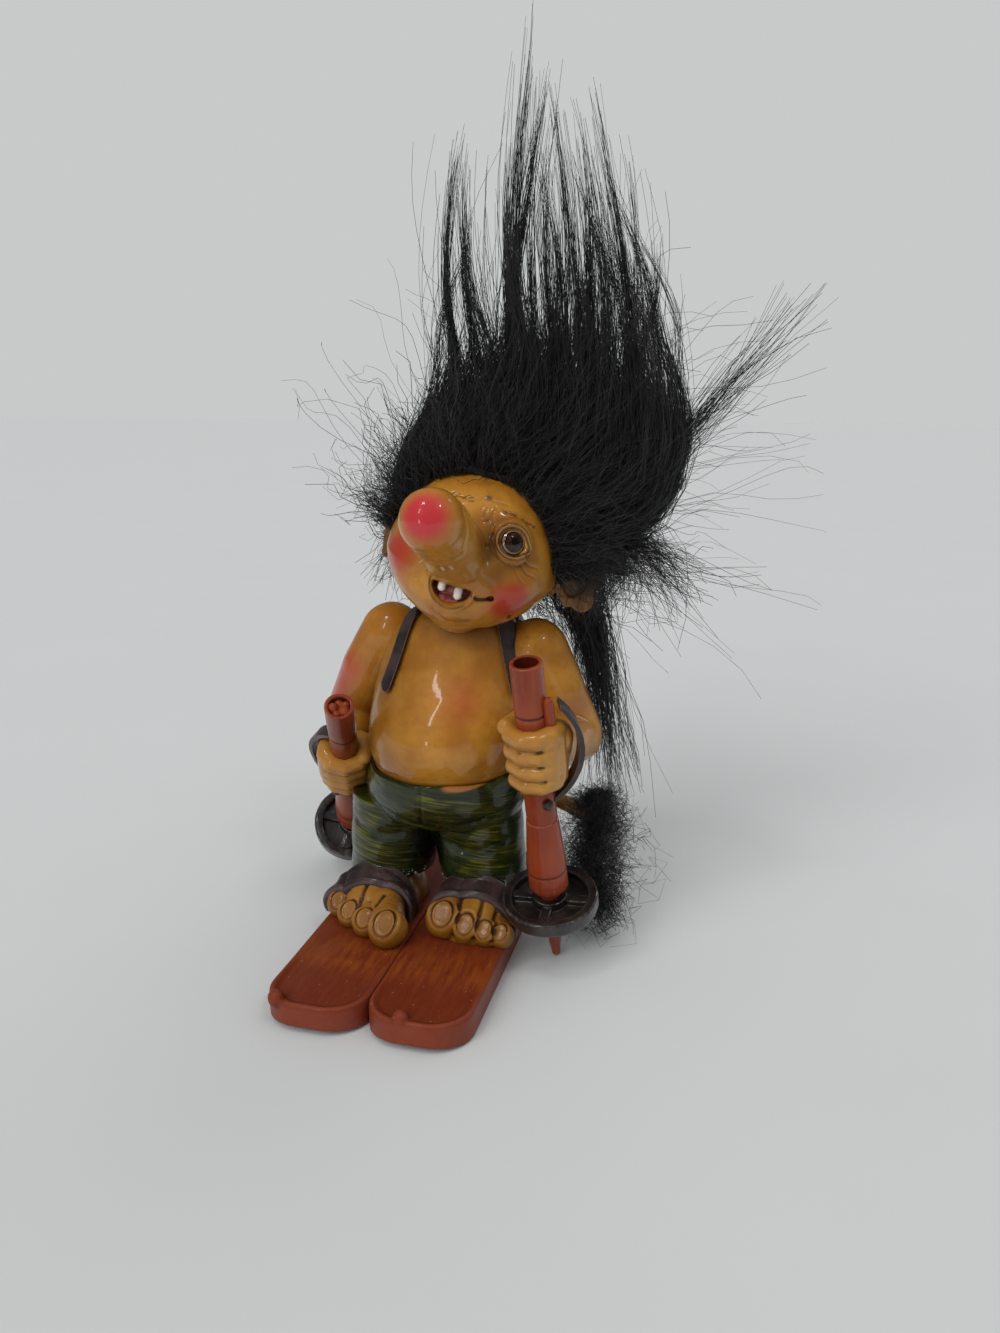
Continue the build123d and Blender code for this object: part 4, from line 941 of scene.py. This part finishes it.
# Eyebrows are scratched in with short strokes, and there is one grey mole above the nose
strokes = np.random.default_rng(7)
BROWS = np.array((
    ((5.4, -13.0, 13.4), (12.4, -9.6, 11.0)),
    ((-7.4, -11.2, 13.4), (-1.6, -12.6, 13.2)),
))
for start, end in BROWS:
    for share in np.linspace(0, 1, 13):
        root = start + share * (end - start) + strokes.normal(0, 0.25, 3)
        stroke = (0.9, 0.3, strokes.uniform(-0.5, 0.9))
        press(head, head_line(root, root + stroke), 0.22, 0.10, 0.55)
mole = head_line((1.6, -12.0, 14.6))[0]
from_mole = np.linalg.norm(points(head) - mole, axis=1)
swell(head, 0.35 * fade(from_mole, 0.8))
paint(head, "mole", fade(from_mole, 0.75, 4))
swell(head, 0.12 * lumps(points(head), 6.0, 101))
weather(head, 2.2, 2)
face = face_points()
round_mouth = out_of_mouth(face, MOUTH_Z, MOUTH_HALF_WIDTH, MOUTH_DROP)
at_mouth = (face[:, 1] < -8) & (face[:, 2] < -2.2) & (face[:, 0] < 3.2)
wipe(head, "wash", 1 - 0.9 * at_mouth * ramp(round_mouth, 1.3, -0.15))
paint(head, "wash", 0.55 * at_mouth * fade(round_mouth - 0.96, 0.06))
# Nose tip, cheeks and the shade beside the eyes and nose: strength, middle, radius, sharpness of edge
for mask, strength, middle, radius, power in (
    ("crimson", 1.0, (-6.1, -35.0, 12.0), 5.1, 3),
    ("blush", 1.0, (11.4, -15.6, -4.3), 4.6, 3),
    ("blush", 1.0, (-13.6, -12.8, -1.4), 5.2, 2),
    ("shadow", 0.8, (7.6, -16.4, 1.2), 3.4, 2),
    ("shadow", 0.75, (3.0, -18.0, 4.0), 3.4, 2),
    ("shadow", 0.6, (-9.0, -15.5, 2.0), 4.5, 2),
):
    paint(head, mask, strength * dab(face, middle, radius, power))
# The inside of the open mouth is painted dark, darker further in
in_mouth = np.abs(face[:, 0] - MOUTH_X) < 5.2
in_mouth &= (np.abs(face[:, 2] + 5.6) < 3.2) & (face[:, 1] < -8)
inner = out_of_mouth(face, -5.3, 4.4, 2.7)
paint(head, "mouth", in_mouth * ramp(inner, 1.08, -0.12) * ramp(face[:, 1], -18.7, 1.4))
# Painted light on the shaded side of the nose
paint(head, "pale", 0.9 * dab(face, (-2.0, -23.5, 3.0), 6.5))


def head_paint(shade):
    colour, roughness, height, depth = skin_paint(shade)
    red = (shade.mask("crimson").between(0.0, 0.95) * 0.95).blend(colour, (0.50, 0.020, 0.036))
    grey = (shade.mask("mole") * 0.85).blend(red, (0.09, 0.05, 0.05))
    mouth_inside = (shade.mask("mouth") * 0.9).blend(grey, (0.055, 0.007, 0.005))
    return mouth_inside, roughness, height, depth


head_finish = make_finish("head_paint", (0.36, 0.15, 0.02), head_paint, coat=(0.7, 0.07), specular=0.22)
place(head, head_finish, "skin", "head")

# Ears
# Leaf-shaped ears with a thick lobe, hollow in front, pegged into the sides of the head. The left one
# stands out through the fur and the right one is swept back under it.
for side in ("left", "right"):
    ear = cast(side + "_ear", "_cast", 0.24, 5, 0.12, 4.0, 111)
    weather(ear, 2.6, 3)
    paint(ear, "shadow", 0.9)
    place(ear, skin_finish, "skin", side + "_ear")

# Eyes
# Dark brown glass beads on wire shanks, set in the sockets: a black pupil in a brown iris, under a
# clear polished front.


def eye_glass(middle, look):
    def recipe(shade):
        coords = shade.node("TexCoord", out="Object")
        offset = {0: coords, 1: tuple(middle * MM)}
        from_middle = shade.node("VectorMath", {"operation": "SUBTRACT"}, offset)
        turned = {0: from_middle, 1: tuple(look)}
        aside = shade.node("VectorMath", {"operation": "CROSS_PRODUCT"}, turned)
        ring = shade.node("VectorMath", {"operation": "LENGTH"}, {0: aside}, out="Value") * (1 / MM)
        fibre = shade.grain(0.5, 3.0)
        iris = fibre.between(0.3, 0.7).blend((0.012, 0.005, 0.002), (0.050, 0.020, 0.007))
        pupil = ring.between(1.0, 0.85).blend(iris, (0.0015, 0.001, 0.001))
        rim = ring.between(1.75, 1.9).blend(pupil, (0.004, 0.002, 0.002))
        lid = ring.between(2.06, 2.16).blend(rim, (0.25, 0.150, 0.070))
        fold = (ring.between(2.36, 2.46) * ring.between(2.70, 2.60)).blend(lid, (0.020, 0.008, 0.004))
        return fold, 0.05 + 0.02 * fibre, fibre, 0.002

    return recipe


BEAD_RADIUS, FRONT_RADIUS, FRONT_BULGE = 3.5, 3.1, 0.55
for side, name in ((1, "left_eye"), (-1, "right_eye")):
    middle = on_head(eye_seat(side))[0]
    look = head_axes @ unit(eye_seat(side))
    halves = [ball(middle, (BEAD_RADIUS,) * 3), ball(middle + FRONT_BULGE * look, (FRONT_RADIUS,) * 3)]
    eye = knead(halves, name + "_bead", 0.18, 4)
    glass = make_finish(
        name + "_glass", (0.01, 0.005, 0.003), eye_glass(middle, look), coat=(0.4, 0.03), specular=0.25
    )
    place(eye, glass, "eye", name)

# Teeth and tongue
# Two peg teeth hang from the roof of the open mouth, in front of a dark pink tongue.


def tooth_paint(shade):
    fine = shade.grain(0.7, 2.0)
    ivory = fine.between(0.3, 0.7).blend((0.80, 0.74, 0.62), (0.90, 0.87, 0.80))
    colour = (shade.mask("wash") * 0.6).blend(ivory, (0.30, 0.16, 0.08))
    return colour, 0.18 + 0.1 * fine, fine, 0.02


def tongue_paint(shade):
    fine = shade.grain(0.9, 3.0)
    colour = fine.between(0.3, 0.7).blend((0.30, 0.045, 0.045), (0.55, 0.17, 0.16))
    return colour, 0.25 + 0.2 * fine, fine, 0.08


tooth_finish = make_finish("tooth_paint", (0.85, 0.8, 0.7), tooth_paint, coat=(0.5, 0.08))
tongue_finish = make_finish("tongue_paint", (0.45, 0.1, 0.1), tongue_paint, coat=(0.5, 0.12))
pegs = []
for x, top, drop, wide in ((-2.6, -3.8, 0.9, 0.82), (1.0, -4.5, 1.0, 0.92)):
    root, end = on_head((x, -17.2, top), (x + 0.1, -17.8, top - drop))
    pegs += limb((root, end), (wide, wide * 0.95))
teeth = knead(pegs, "upper_teeth_pegs", 0.14, 4)
weather(teeth, 2.0, 1)
place(teeth, tooth_finish, "tooth", "upper_teeth")
tongue = knead(
    [ball(on_head(middle)[0], size, HEAD.to_euler()) for middle, size in (
        ((-1.4, -15.6, -7.6), (2.4, 3.0, 1.3)),
        ((1.0, -15.6, -7.7), (2.2, 2.8, 1.2)),
        ((-0.5, -14.2, -5.6), (4.2, 1.8, 2.6)),
    )],
    "tongue_cast", 0.16, 4,
)
swell(tongue, 0.10 * lumps(points(tongue), 1.6, 121))
place(tongue, tongue_finish, "tongue", "tongue")

# Wig
# Long black synthetic fur on a cloth cap glued behind the hairline. It stands up in pointed locks, with
# a crimped undercoat at the roots, loose sprays on the left and single hairs that fly off on all sides.


def cap_cloth(shade):
    weave = shade.grain(0.5, 2.0)
    colour = weave.between(0.35, 0.65).blend((0.004, 0.004, 0.005), (0.016, 0.016, 0.018))
    return colour, 0.75 + 0.15 * weave, weave, 0.15


def fur_fibre(shade):
    tone = shade.mask("tone")
    colour = tone.between(0.2, 1.0).blend((0.002, 0.002, 0.003), (0.017, 0.017, 0.020))
    return colour, 0.30 + 0.18 * tone, None, 0.0


fur_finish = make_finish("fur_fibre", (0.006, 0.006, 0.007), fur_fibre, sheen=0.06)
cap_finish = make_finish("cap_cloth", (0.008, 0.008, 0.009), cap_cloth)
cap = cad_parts["wig_cap"]
cap.data.materials.clear()
cap.data.materials.append(cap_finish)
SIDES = 3  # round one strand


def fur(name, paths, thick, taper, seed):
    """Strands as thin closed tubes, each with a tone of its own and its own patch of the map."""
    chance = np.random.default_rng(seed)
    count, steps = paths.shape[:2]
    way = np.gradient(paths, axis=1)
    way /= np.linalg.norm(way, axis=2)[..., None] + 1e-9
    lean = chance.normal(size=(count, 1, 3))
    first = lean - (lean * way).sum(2)[..., None] * way
    first /= np.linalg.norm(first, axis=2)[..., None] + 1e-9
    second = np.cross(way, first)
    width = (thick * chance.uniform(0.75, 1.25, count))[:, None] * np.linspace(1, taper, steps)
    angles = np.arange(SIDES) * 2 * math.pi / SIDES
    ring = np.cos(angles)[:, None] * first[:, :, None] + np.sin(angles)[:, None] * second[:, :, None]
    skin = (paths[:, :, None] + width[:, :, None, None] * ring).reshape(-1, 3) * MM
    here = np.arange(steps - 1)[:, None] * SIDES + np.arange(SIDES)
    beside = np.arange(steps - 1)[:, None] * SIDES + (np.arange(SIDES) + 1) % SIDES
    walls = np.stack((here, beside, beside + SIDES, here + SIDES), 2).reshape(-1, 4)
    ends = np.array(((0, 2, 1), (steps * SIDES - 3, steps * SIDES - 2, steps * SIDES - 1)))
    first_point = np.arange(count)[:, None] * steps * SIDES
    corners = np.concatenate((first_point + walls.ravel(), first_point + ends.ravel()), 1).ravel()
    totals = np.tile(np.r_[np.full(len(walls), 4), 3, 3], count)
    mesh = bpy.data.meshes.new(name)
    mesh.vertices.add(len(skin))
    mesh.vertices.foreach_set("co", skin.astype(np.float32).ravel())
    mesh.loops.add(len(corners))
    mesh.loops.foreach_set("vertex_index", corners.astype(np.int32))
    mesh.polygons.add(len(totals))
    mesh.polygons.foreach_set("loop_start", np.r_[0, np.cumsum(totals)[:-1]].astype(np.int32))
    mesh.update(calc_edges=True)
    step, side = np.divmod(np.arange((steps - 1) * SIDES), SIDES)
    along = np.stack((step, step, step + 1, step + 1), 1).ravel() / (steps - 1)
    around = np.stack((side, side + 1, side + 1, side), 1).ravel() / (SIDES + 1)
    along = np.r_[along, 0.1, 0.3, 0.2, 0.5, 0.7, 0.6]
    around = np.r_[around, 0.8, 0.8, 0.9, 0.8, 0.8, 0.9]
    rows = math.ceil(math.sqrt(count))
    row, column = np.divmod(np.arange(count), rows)
    across_map = column[:, None] + 0.05 + 0.9 * along
    up_map = row[:, None] + 0.05 + 0.9 * around
    flat = np.stack((across_map, up_map), 2) / rows
    mesh.uv_layers.new(name="OFBake").data.foreach_set("uv", flat.astype(np.float32).ravel())
    mesh.validate()
    piece = bpy.data.objects.new(name, mesh)
    bpy.context.collection.objects.link(piece)
    make_active(piece)
    bpy.ops.object.shade_smooth()
    paint(piece, "tone", np.repeat(chance.uniform(0, 1, count), steps * SIDES))
    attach(piece, "root")
    mesh.materials.append(fur_finish)
    return piece


def curve(knots, share):
    """Points along curves through four pulls each, at the given shares of their length."""
    a, b, c, d = (np.asarray(k, float)[:, None] for k in knots)
    t = share[..., None]
    return a * (1 - t) ** 3 + 3 * b * t * (1 - t) ** 2 + 3 * c * t**2 * (1 - t) + d * t**3


def crimp(paths, height, waves, chance):
    """Waves along each strand, still at its root."""
    count, steps = paths.shape[:2]
    along = np.linspace(0, 1, steps)
    phase = chance.uniform(0, 2 * math.pi, (count, 1, 3))
    pace = chance.uniform(0.6, 1.4, (count, 1, 3)) * waves * 2 * math.pi
    size = height * chance.uniform(0.4, 1.6, (count, 1, 1)) * np.sqrt(along)[None, :, None]
    return paths + size * np.sin(along[None, :, None] * pace + phase)


# The cap in the head's own axes: its radii, and its crown, which is tipped back by 30 degrees
CAP_RADII = (18.9, 18.6, 18.2)
CAP_UP = (0, 0.5, 0.866)
CAP_BACK = (0, 0.866, -0.5)


def scalp(count, chance):
    """Roots on the cap behind the hairline: where they are, where they face, their seats from above."""
    found = np.empty((0, 3))
    while len(found) < count:
        way = chance.normal(size=(4 * count, 3))
        way /= np.linalg.norm(way, axis=1)[:, None]
        root = way * CAP_RADII
        at_temple = (root[:, 0] / 16.5) ** 2 * ramp(root[:, 2], -4.0, 6.0)
        back = 0.866 * (root[:, 1] + 5.0) + 0.5 * (root[:, 2] - 17.2)
        hairline = -0.5 - (5.2 + 1.8 * (root[:, 0] > 0)) * at_temple
        found = np.concatenate((found, root[(back > hairline) & (root[:, 2] > -15)]))
    root = found[:count]
    way = root / np.linalg.norm(root, axis=1)[:, None]
    fall = np.arccos(np.clip(way @ CAP_UP, -1, 1)) / math.radians(80)
    turn = np.arctan2(way @ CAP_BACK, way[:, 0])
    return on_head(*root), way @ head_axes.T, np.c_[fall * np.cos(turn), fall * np.sin(turn)]


# Corners of the room that the hair has, and how much of what sticks out of it is drawn in
DRAWN_IN = 0.92
ROOM_LOW = np.array((-42.0, -30.0, 0.3))
ROOM_HIGH = np.array((84.0, 43.0, 203.0))


def kept_in(paths):
    """Strands drawn in towards their roots where they would leave the room the hair has."""
    over = np.maximum(paths - ROOM_HIGH, 0) + np.minimum(paths - ROOM_LOW, 0)
    return paths - over * DRAWN_IN


chance = np.random.default_rng(1848)
# The standing fur from the ears to the top of its thick mass: height, middle x and y, half widths
MASS = np.array((
    (84, 20.0, 18.0, 22.0, 11.0), (90, 20.3, 17.3, 24.5, 14.0), (97, 20.8, 16.5, 27.0, 16.5),
    (105, 22.3, 15.2, 29.5, 20.0), (114, 23.6, 14.0, 30.0, 21.3), (125, 25.2, 14.0, 27.0, 19.8),
    (136, 26.0, 14.5, 23.5, 17.2), (150, 26.0, 15.0, 20.0, 15.0),
))


def in_mass(seat, height):
    """Places in the standing fur at the given heights, for strands with the given seats on the cap."""
    x, y, half_x, half_y = (np.interp(height, MASS[:, 0], column) for column in MASS[:, 1:].T)
    return np.stack((x + half_x * seat[:, :1], y + half_y * seat[:, 1:], height), 2)


def at_level(seat, height):
    """One place in the standing fur for each seat, all at one height."""
    return in_mass(seat, np.full((len(seat), 1), height))[:, 0]


def ease(share, low, high):
    """0 up to low and 1 from high, with a soft start and end between them."""
    step = ramp(share, low, high - low)
    return step * step * (3 - 2 * step)


def standing(seats, top, steps, chance):
    """Strands that leave the skin, swell out to their places in the mass and rise to their tops."""
    start, facing, seat = seats
    share = np.linspace(0, 1, steps)[None]
    height = start[:, 2:] + (top[:, None] - start[:, 2:]) * share
    rise = (0, 0, 1) * (height - start[:, 2:])[..., None]
    out = start[:, None] + facing[:, None] * 12 * share[..., None] + rise
    join = ease(share, 0.0, 0.42)[..., None]
    return (1 - join) * out + join * in_mass(seat + chance.normal(0, 0.045, seat.shape), height)


def wig_seats(count, chance):
    """Roots of the standing fur, with seats drawn in to the edge of the mass."""
    start, facing, seat = scalp(count * 2, chance)
    reach = np.linalg.norm(seat, axis=1)
    seat = seat / np.maximum(reach, 1.0)[:, None]
    high = reach < 1.15
    return start[high][:count], facing[high][:count], seat[high][:count]


def thick_fur(count, chance):
    """The thick of the wig, which swells out over the brow and stands up to a ragged top."""
    seats = wig_seats(count, chance)
    edge = np.linalg.norm(seats[2], axis=1)
    top = 131 - 13 * edge**2 + chance.normal(0, 8.0, count)
    return crimp(standing(seats, np.maximum(top, seats[0][:, 2] + 16), 10, chance), 0.5, 1.6, chance)


# Locks: x and y of the foot, all at one height, and x, y and z of the tip
LOCK_FOOT = 130.0
LOWEST_TIP = 132
LOCKS = np.array((
    (1.5, 15, 5, 16, 179), (8.5, 9, 8, 12, 174), (17.5, 14, 18, 17, 200), (20, 4, 17, 9, 180),
    (29, 12, 22, 14, 188), (30, 22, 28, 19, 187), (37, 6, 29, 9, 172), (42, 14, 33, 15, 182),
    (51, 15, 33, 17, 168), (12, 28, 13, 27, 176), (33, 31, 30, 29, 172), (-4, 14, -1, 16, 153),
    (45, 25, 39, 22, 162), (24, 20, 22, 22, 182), (47, 7, 39, 11, 160),
), float)
# Each lock splits into three, and the two beside it are shorter
split = np.random.default_rng(99).normal(0, 1, (2, len(LOCKS), 5)) * (2.6, 2.2, 3.4, 2.6, 9.0)
shorter = np.array((0, 0, 0, 0, 1))
SPLIT_LOCKS = np.concatenate((LOCKS, LOCKS + split[0] - 8 * shorter, LOCKS + split[1] - 14 * shorter))


def lock_fur(count, chance):
    """Long fur that gathers into upright pointed locks, with light showing between them."""
    seats = wig_seats(count, chance)
    near = at_level(seats[2], LOCK_FOOT)[:, :2] + chance.normal(0, 1.5, (count, 2))
    gaps = np.linalg.norm(near[:, None] - SPLIT_LOCKS[None, :, :2], axis=2)
    lock = SPLIT_LOCKS[np.argmin(gaps, axis=1)]
    foot, tip = lock[:, None, :2], lock[:, None, 2:4]
    rest = np.clip(chance.beta(1.9, 1.5, count), 0, 1)
    top = LOWEST_TIP + (lock[:, 4] - LOWEST_TIP) * (0.12 + 0.9 * rest) + chance.normal(0, 2.0, count)
    paths = standing(seats, top, 13, chance)
    rise = (paths[..., 2:] - LOCK_FOOT) / (lock[:, None, 4:] - LOCK_FOOT)
    inside = np.clip(rise, 0, 1)
    stray = chance.normal(0, 1, (count, 1, 2)) * np.where(chance.random((count, 1, 1)) < 0.2, 4.0, 0.55)
    swing = 0.9 * np.sin(inside * 3.4 + foot[..., :1] * 1.7) * (1, 0.5)
    bow = 1.5 * np.sin(inside * math.pi) * np.sign(foot[..., :1] - 24) * (1, 0) + swing
    gathered = foot + (tip - foot) * np.maximum(rise, -0.2) + stray + bow
    join = ease(paths[..., 2:], 112, 143)
    paths[..., :2] = (1 - join) * paths[..., :2] + join * gathered
    return crimp(paths, 0.45, 1.5, chance)


for name, paths, thick in (
    ("crown_hair_front", thick_fur(2600, chance), 0.12),
    ("crown_hair_back", thick_fur(2600, chance), 0.12),
    ("crown_hair_locks", lock_fur(1800, chance), 0.095),
):
    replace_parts(fur(name, kept_in(paths), thick, 0.4, len(name)), "crown_hair")

# A short crimped undercoat stands close to the cap
start, facing = scalp(3400, chance)[:2]
way = facing + chance.normal(0, 0.45, facing.shape)
reach = chance.uniform(6, 18, (len(start), 1)) * np.where(facing[:, :1] < -0.3, 0.65, 1.0)
far = way * reach
short = curve(
    (start, start + far * 0.4, start + far * 0.7 + (0, 0, 2), start + far + (1, 0, 3)),
    np.linspace(0, 1, 8)[None],
)
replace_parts(fur("crown_undercoat", kept_in(crimp(short, 1.3, 2.0, chance)), 0.10, 0.4, 5), "crown_hair")

# Single long hairs fly off, most of them on the left
start, facing = scalp(330, chance)[:2]
kept = (facing[:, 0] > -0.1) | (chance.random(330) < 0.25)
start, facing = start[kept], facing[kept]
away = facing * (0.9, 0.5, 0.7) + chance.normal(0, 0.3, facing.shape) + (0.16, 0, 0.45)
away /= np.linalg.norm(away, axis=1)[:, None]
reach = chance.uniform(22, 64, (len(start), 1)) * np.where(facing[:, :1] < -0.2, 0.75, 1.0)
far = away * reach
loose = curve(
    (start, start + facing * 12 + (0, 0, 8), start + far * 0.7 + (0, 0, 8), start + far),
    np.linspace(0, 1, 12)[None],
)
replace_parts(fur("flying_hairs", kept_in(crimp(loose, 2.2, 1.4, chance)), 0.07, 0.5, 6), "crown_hair")


def loose_lock(count, knots, spreads, frizz, chance):
    """One loose lock: strands round a middle line, splayed by a spread at each of its four pulls."""
    ends = [
        np.array(knot, float) + chance.normal(0, spread, (count, 3)) * (1, 1, 0.9)
        for knot, spread in zip(knots, spreads)
    ]
    share = np.clip(chance.beta(2.4, 1.5, count) + 0.08, 0.3, 1.0)[:, None] * np.linspace(0, 1, 10)
    return kept_in(crimp(curve(ends, share), frizz, 1.6, chance))


# Loose locks: number of strands, four pulls with the spread at each of them, and frizz
for name, count, knots, spreads, frizz in (
    ("left_spray", 130,
     ((32, 15, 99), (48, 14, 104), (58, 15, 121), (76, 15, 143)), (2.5, 3.4, 2.6, 4.0), 0.9),
    ("left_low_spray", 300,
     ((28, 18, 92), (43, 21, 97), (49, 19, 86), (57, 15, 78)), (3.5, 5.5, 6.5, 8.0), 1.7),
    ("left_fall", 780,
     ((22, 14, 93), (33, 18, 86), (36, 17, 64), (42, 11, 35)), (4.8, 5.0, 3.4, 4.5), 1.0),
    ("right_temple_lock", 420,
     ((0, 13, 95), (-8, 20, 98), (-12, 17, 91), (-12, 12, 82)), (2.5, 3.0, 3.4, 4.0), 1.1),
):
    paths = loose_lock(count, knots, spreads, frizz, chance)
    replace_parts(fur(name + "_strands", paths, 0.10, 0.4, count), name)
# Some strands lie over the left ear
VEIL = ((24, 3, 100), (34, 2, 97), (37, 4, 88), (36, 8, 76))
over_ear = loose_lock(320, VEIL, (2.6, 2.8, 3.0, 3.4), 1.3, chance)
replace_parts(fur("ear_veil_strands", over_ear, 0.09, 0.4, 12), "left_fall")

# The hair of the nape hangs down from the back edge of the cap
start, facing, seat = scalp(6500, chance)
low = (seat[:, 1] > 0.5) | (np.linalg.norm(seat, axis=1) > 0.95)
start, facing, seat = start[low][:2600], facing[low][:2600], seat[low][:2600]
seat = seat / np.maximum(np.linalg.norm(seat, axis=1), 1.0)[:, None]
count = len(start)
swollen = at_level(seat, 91.0) + chance.normal(0, 1.5, (count, 3))
hang = at_level(0.85 * seat, 84.0) + chance.normal((-3, -2, -8), (3.5, 2.5, 5.0), (count, 3))
nape = curve(
    (start, start + facing * 9 + (0, 0, 3), 1.3 * swollen - 0.3 * start, hang),
    np.clip(chance.beta(4, 1.6, count), 0.35, 1)[:, None] * np.linspace(0, 1, 9),
)
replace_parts(fur("nape_hair_strands", kept_in(crimp(nape, 0.9, 1.8, chance)), 0.11, 0.4, 8), "nape_hair")

# Tail
# A thin bare tail bends round from the seat of the trousers to the left and ends in a fuzzy brush of
# the same black fur, which hangs behind the pole.
tail = cast("tail", "_cast", 0.30, 2, 0.12, 4.0, 131)
weather(tail, 2.4, 2)
paint(tail, "shadow", 0.5)
place(tail, skin_finish, "skin", "tail")
BRUSH_X, BRUSH_Y, BRUSH_TOP = 38.5, 6.0, 35
count = 1100
height = chance.uniform(2, BRUSH_TOP, count)
angle = chance.uniform(0, 2 * math.pi, count)
belly = np.sin(np.clip(height / 37, 0, 1) * math.pi) ** 0.5
bulge = 6.2 * belly * chance.uniform(0.3, 1.2, count) + 0.8
bulge *= np.where(chance.random(count) < 0.10, 1.8, 1.0)
root_x, root_y = chance.normal(BRUSH_X, 0.9, count), chance.normal(BRUSH_Y, 0.9, count)
start = np.c_[root_x, root_y, np.clip(height + 5, 4, BRUSH_TOP)]
out = np.c_[np.cos(angle), 0.9 * np.sin(angle), chance.normal(-0.25, 0.5, count)]
tip = np.c_[start[:, :2] + out[:, :2] * bulge[:, None], height] + chance.normal(0, 1.4, (count, 3))
brush = curve(
    (start, start + out * bulge[:, None] * 0.7, tip + out * chance.uniform(-2, 3, (count, 1)), tip),
    np.linspace(0, 1, 10)[None],
)
brush = crimp(brush, 2.5, 2.4, chance)
brush[..., 2] = np.maximum(brush[..., 2], 0.3)
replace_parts(fur("tail_brush_strands", brush, 0.07, 0.5, 9), "tail_brush")

# Stage
# A plain pale floor in a pale room. Wide suns give the soft light and two small bulbs the highlights,
# and the camera stands close by, where the photograph was taken from.


def floor_paint(shade):
    speck = shade.grain(60, 2.0)
    colour = speck.blend((0.575, 0.585, 0.58), (0.595, 0.605, 0.60))
    return colour, 0.85 + 0.1 * speck, None, 0.0


deselect()
bpy.ops.mesh.primitive_plane_add(size=8.0, location=(0, 0, 0))
floor = bpy.context.object
floor.name = "floor"
floor_finish = make_finish("floor_paint", (0.56, 0.57, 0.565), floor_paint, specular=0.05)
floor.data.materials.append(floor_finish)

world = bpy.data.worlds.new("pale_room")
bpy.context.scene.world = world
world.use_nodes = True
path = world.node_tree.nodes.new("ShaderNodeLightPath")
mirrored = Shade(world.node_tree, path.outputs["Is Glossy Ray"])
seen = Shade(world.node_tree, path.outputs["Is Camera Ray"])
room = seen.blend(mirrored.blend((0.40, 0.41, 0.42), (0.12, 0.12, 0.125)), (0.575, 0.592, 0.588))
world.node_tree.links.new(room.socket, world.node_tree.nodes["Background"].inputs["Color"])

for name, way, angle, power in (
    ("window_sun", (0.40, 1.0, -0.80), 40, 1.45),
    ("ceiling_sun", (-0.35, 0.1, -1.0), 50, 0.42),
    ("back_sun", (-0.3, -0.8, -0.6), 50, 0.45),
    ("left_bulb", (0.30, 0.45, -1.2), 6, 0.22),
    ("right_bulb", (-0.55, 0.35, -1.0), 6, 0.18),
):
    deselect()
    bpy.ops.object.light_add(type="SUN")
    lamp = bpy.context.object
    lamp.name = name
    lamp.data.energy = power
    lamp.data.angle = math.radians(angle)
    lamp.rotation_euler = Vector(way).to_track_quat("-Z", "Y").to_euler()
    lamp.visible_glossy = angle < 10
# Narrow lamps, aimed at the belly, that show only as streaks in the varnish
BELLY = Vector((0, 0, 0.08))
for name, spot, tall, power in (
    ("upper_strip", (-0.28, -0.70, 0.66), 0.30, 0.45),
    ("lower_strip", (-0.28, -0.80, 0.16), 0.16, 0.20),
    ("back_strip", (0.45, 0.60, 0.45), 0.50, 0.75),
):
    deselect()
    bpy.ops.object.light_add(type="AREA", location=spot)
    lamp = bpy.context.object
    lamp.name = name
    lamp.data.shape = "RECTANGLE"
    lamp.data.size = 0.05
    lamp.data.size_y = tall
    lamp.data.energy = power
    lamp.rotation_euler = (BELLY - Vector(spot)).to_track_quat("-Z", "Y").to_euler()
    lamp.visible_diffuse = False

deselect()
bpy.ops.object.camera_add(location=(0.0707, -0.2071, 0.125))
camera = bpy.context.object
camera.rotation_euler = (math.radians(74.55), 0, math.radians(14.6))
camera.data.sensor_width = 36.0
camera.data.lens = 27.0
camera.data.clip_start = 0.005
bpy.context.scene.camera = camera
bpy.context.scene.view_settings.view_transform = "Standard"
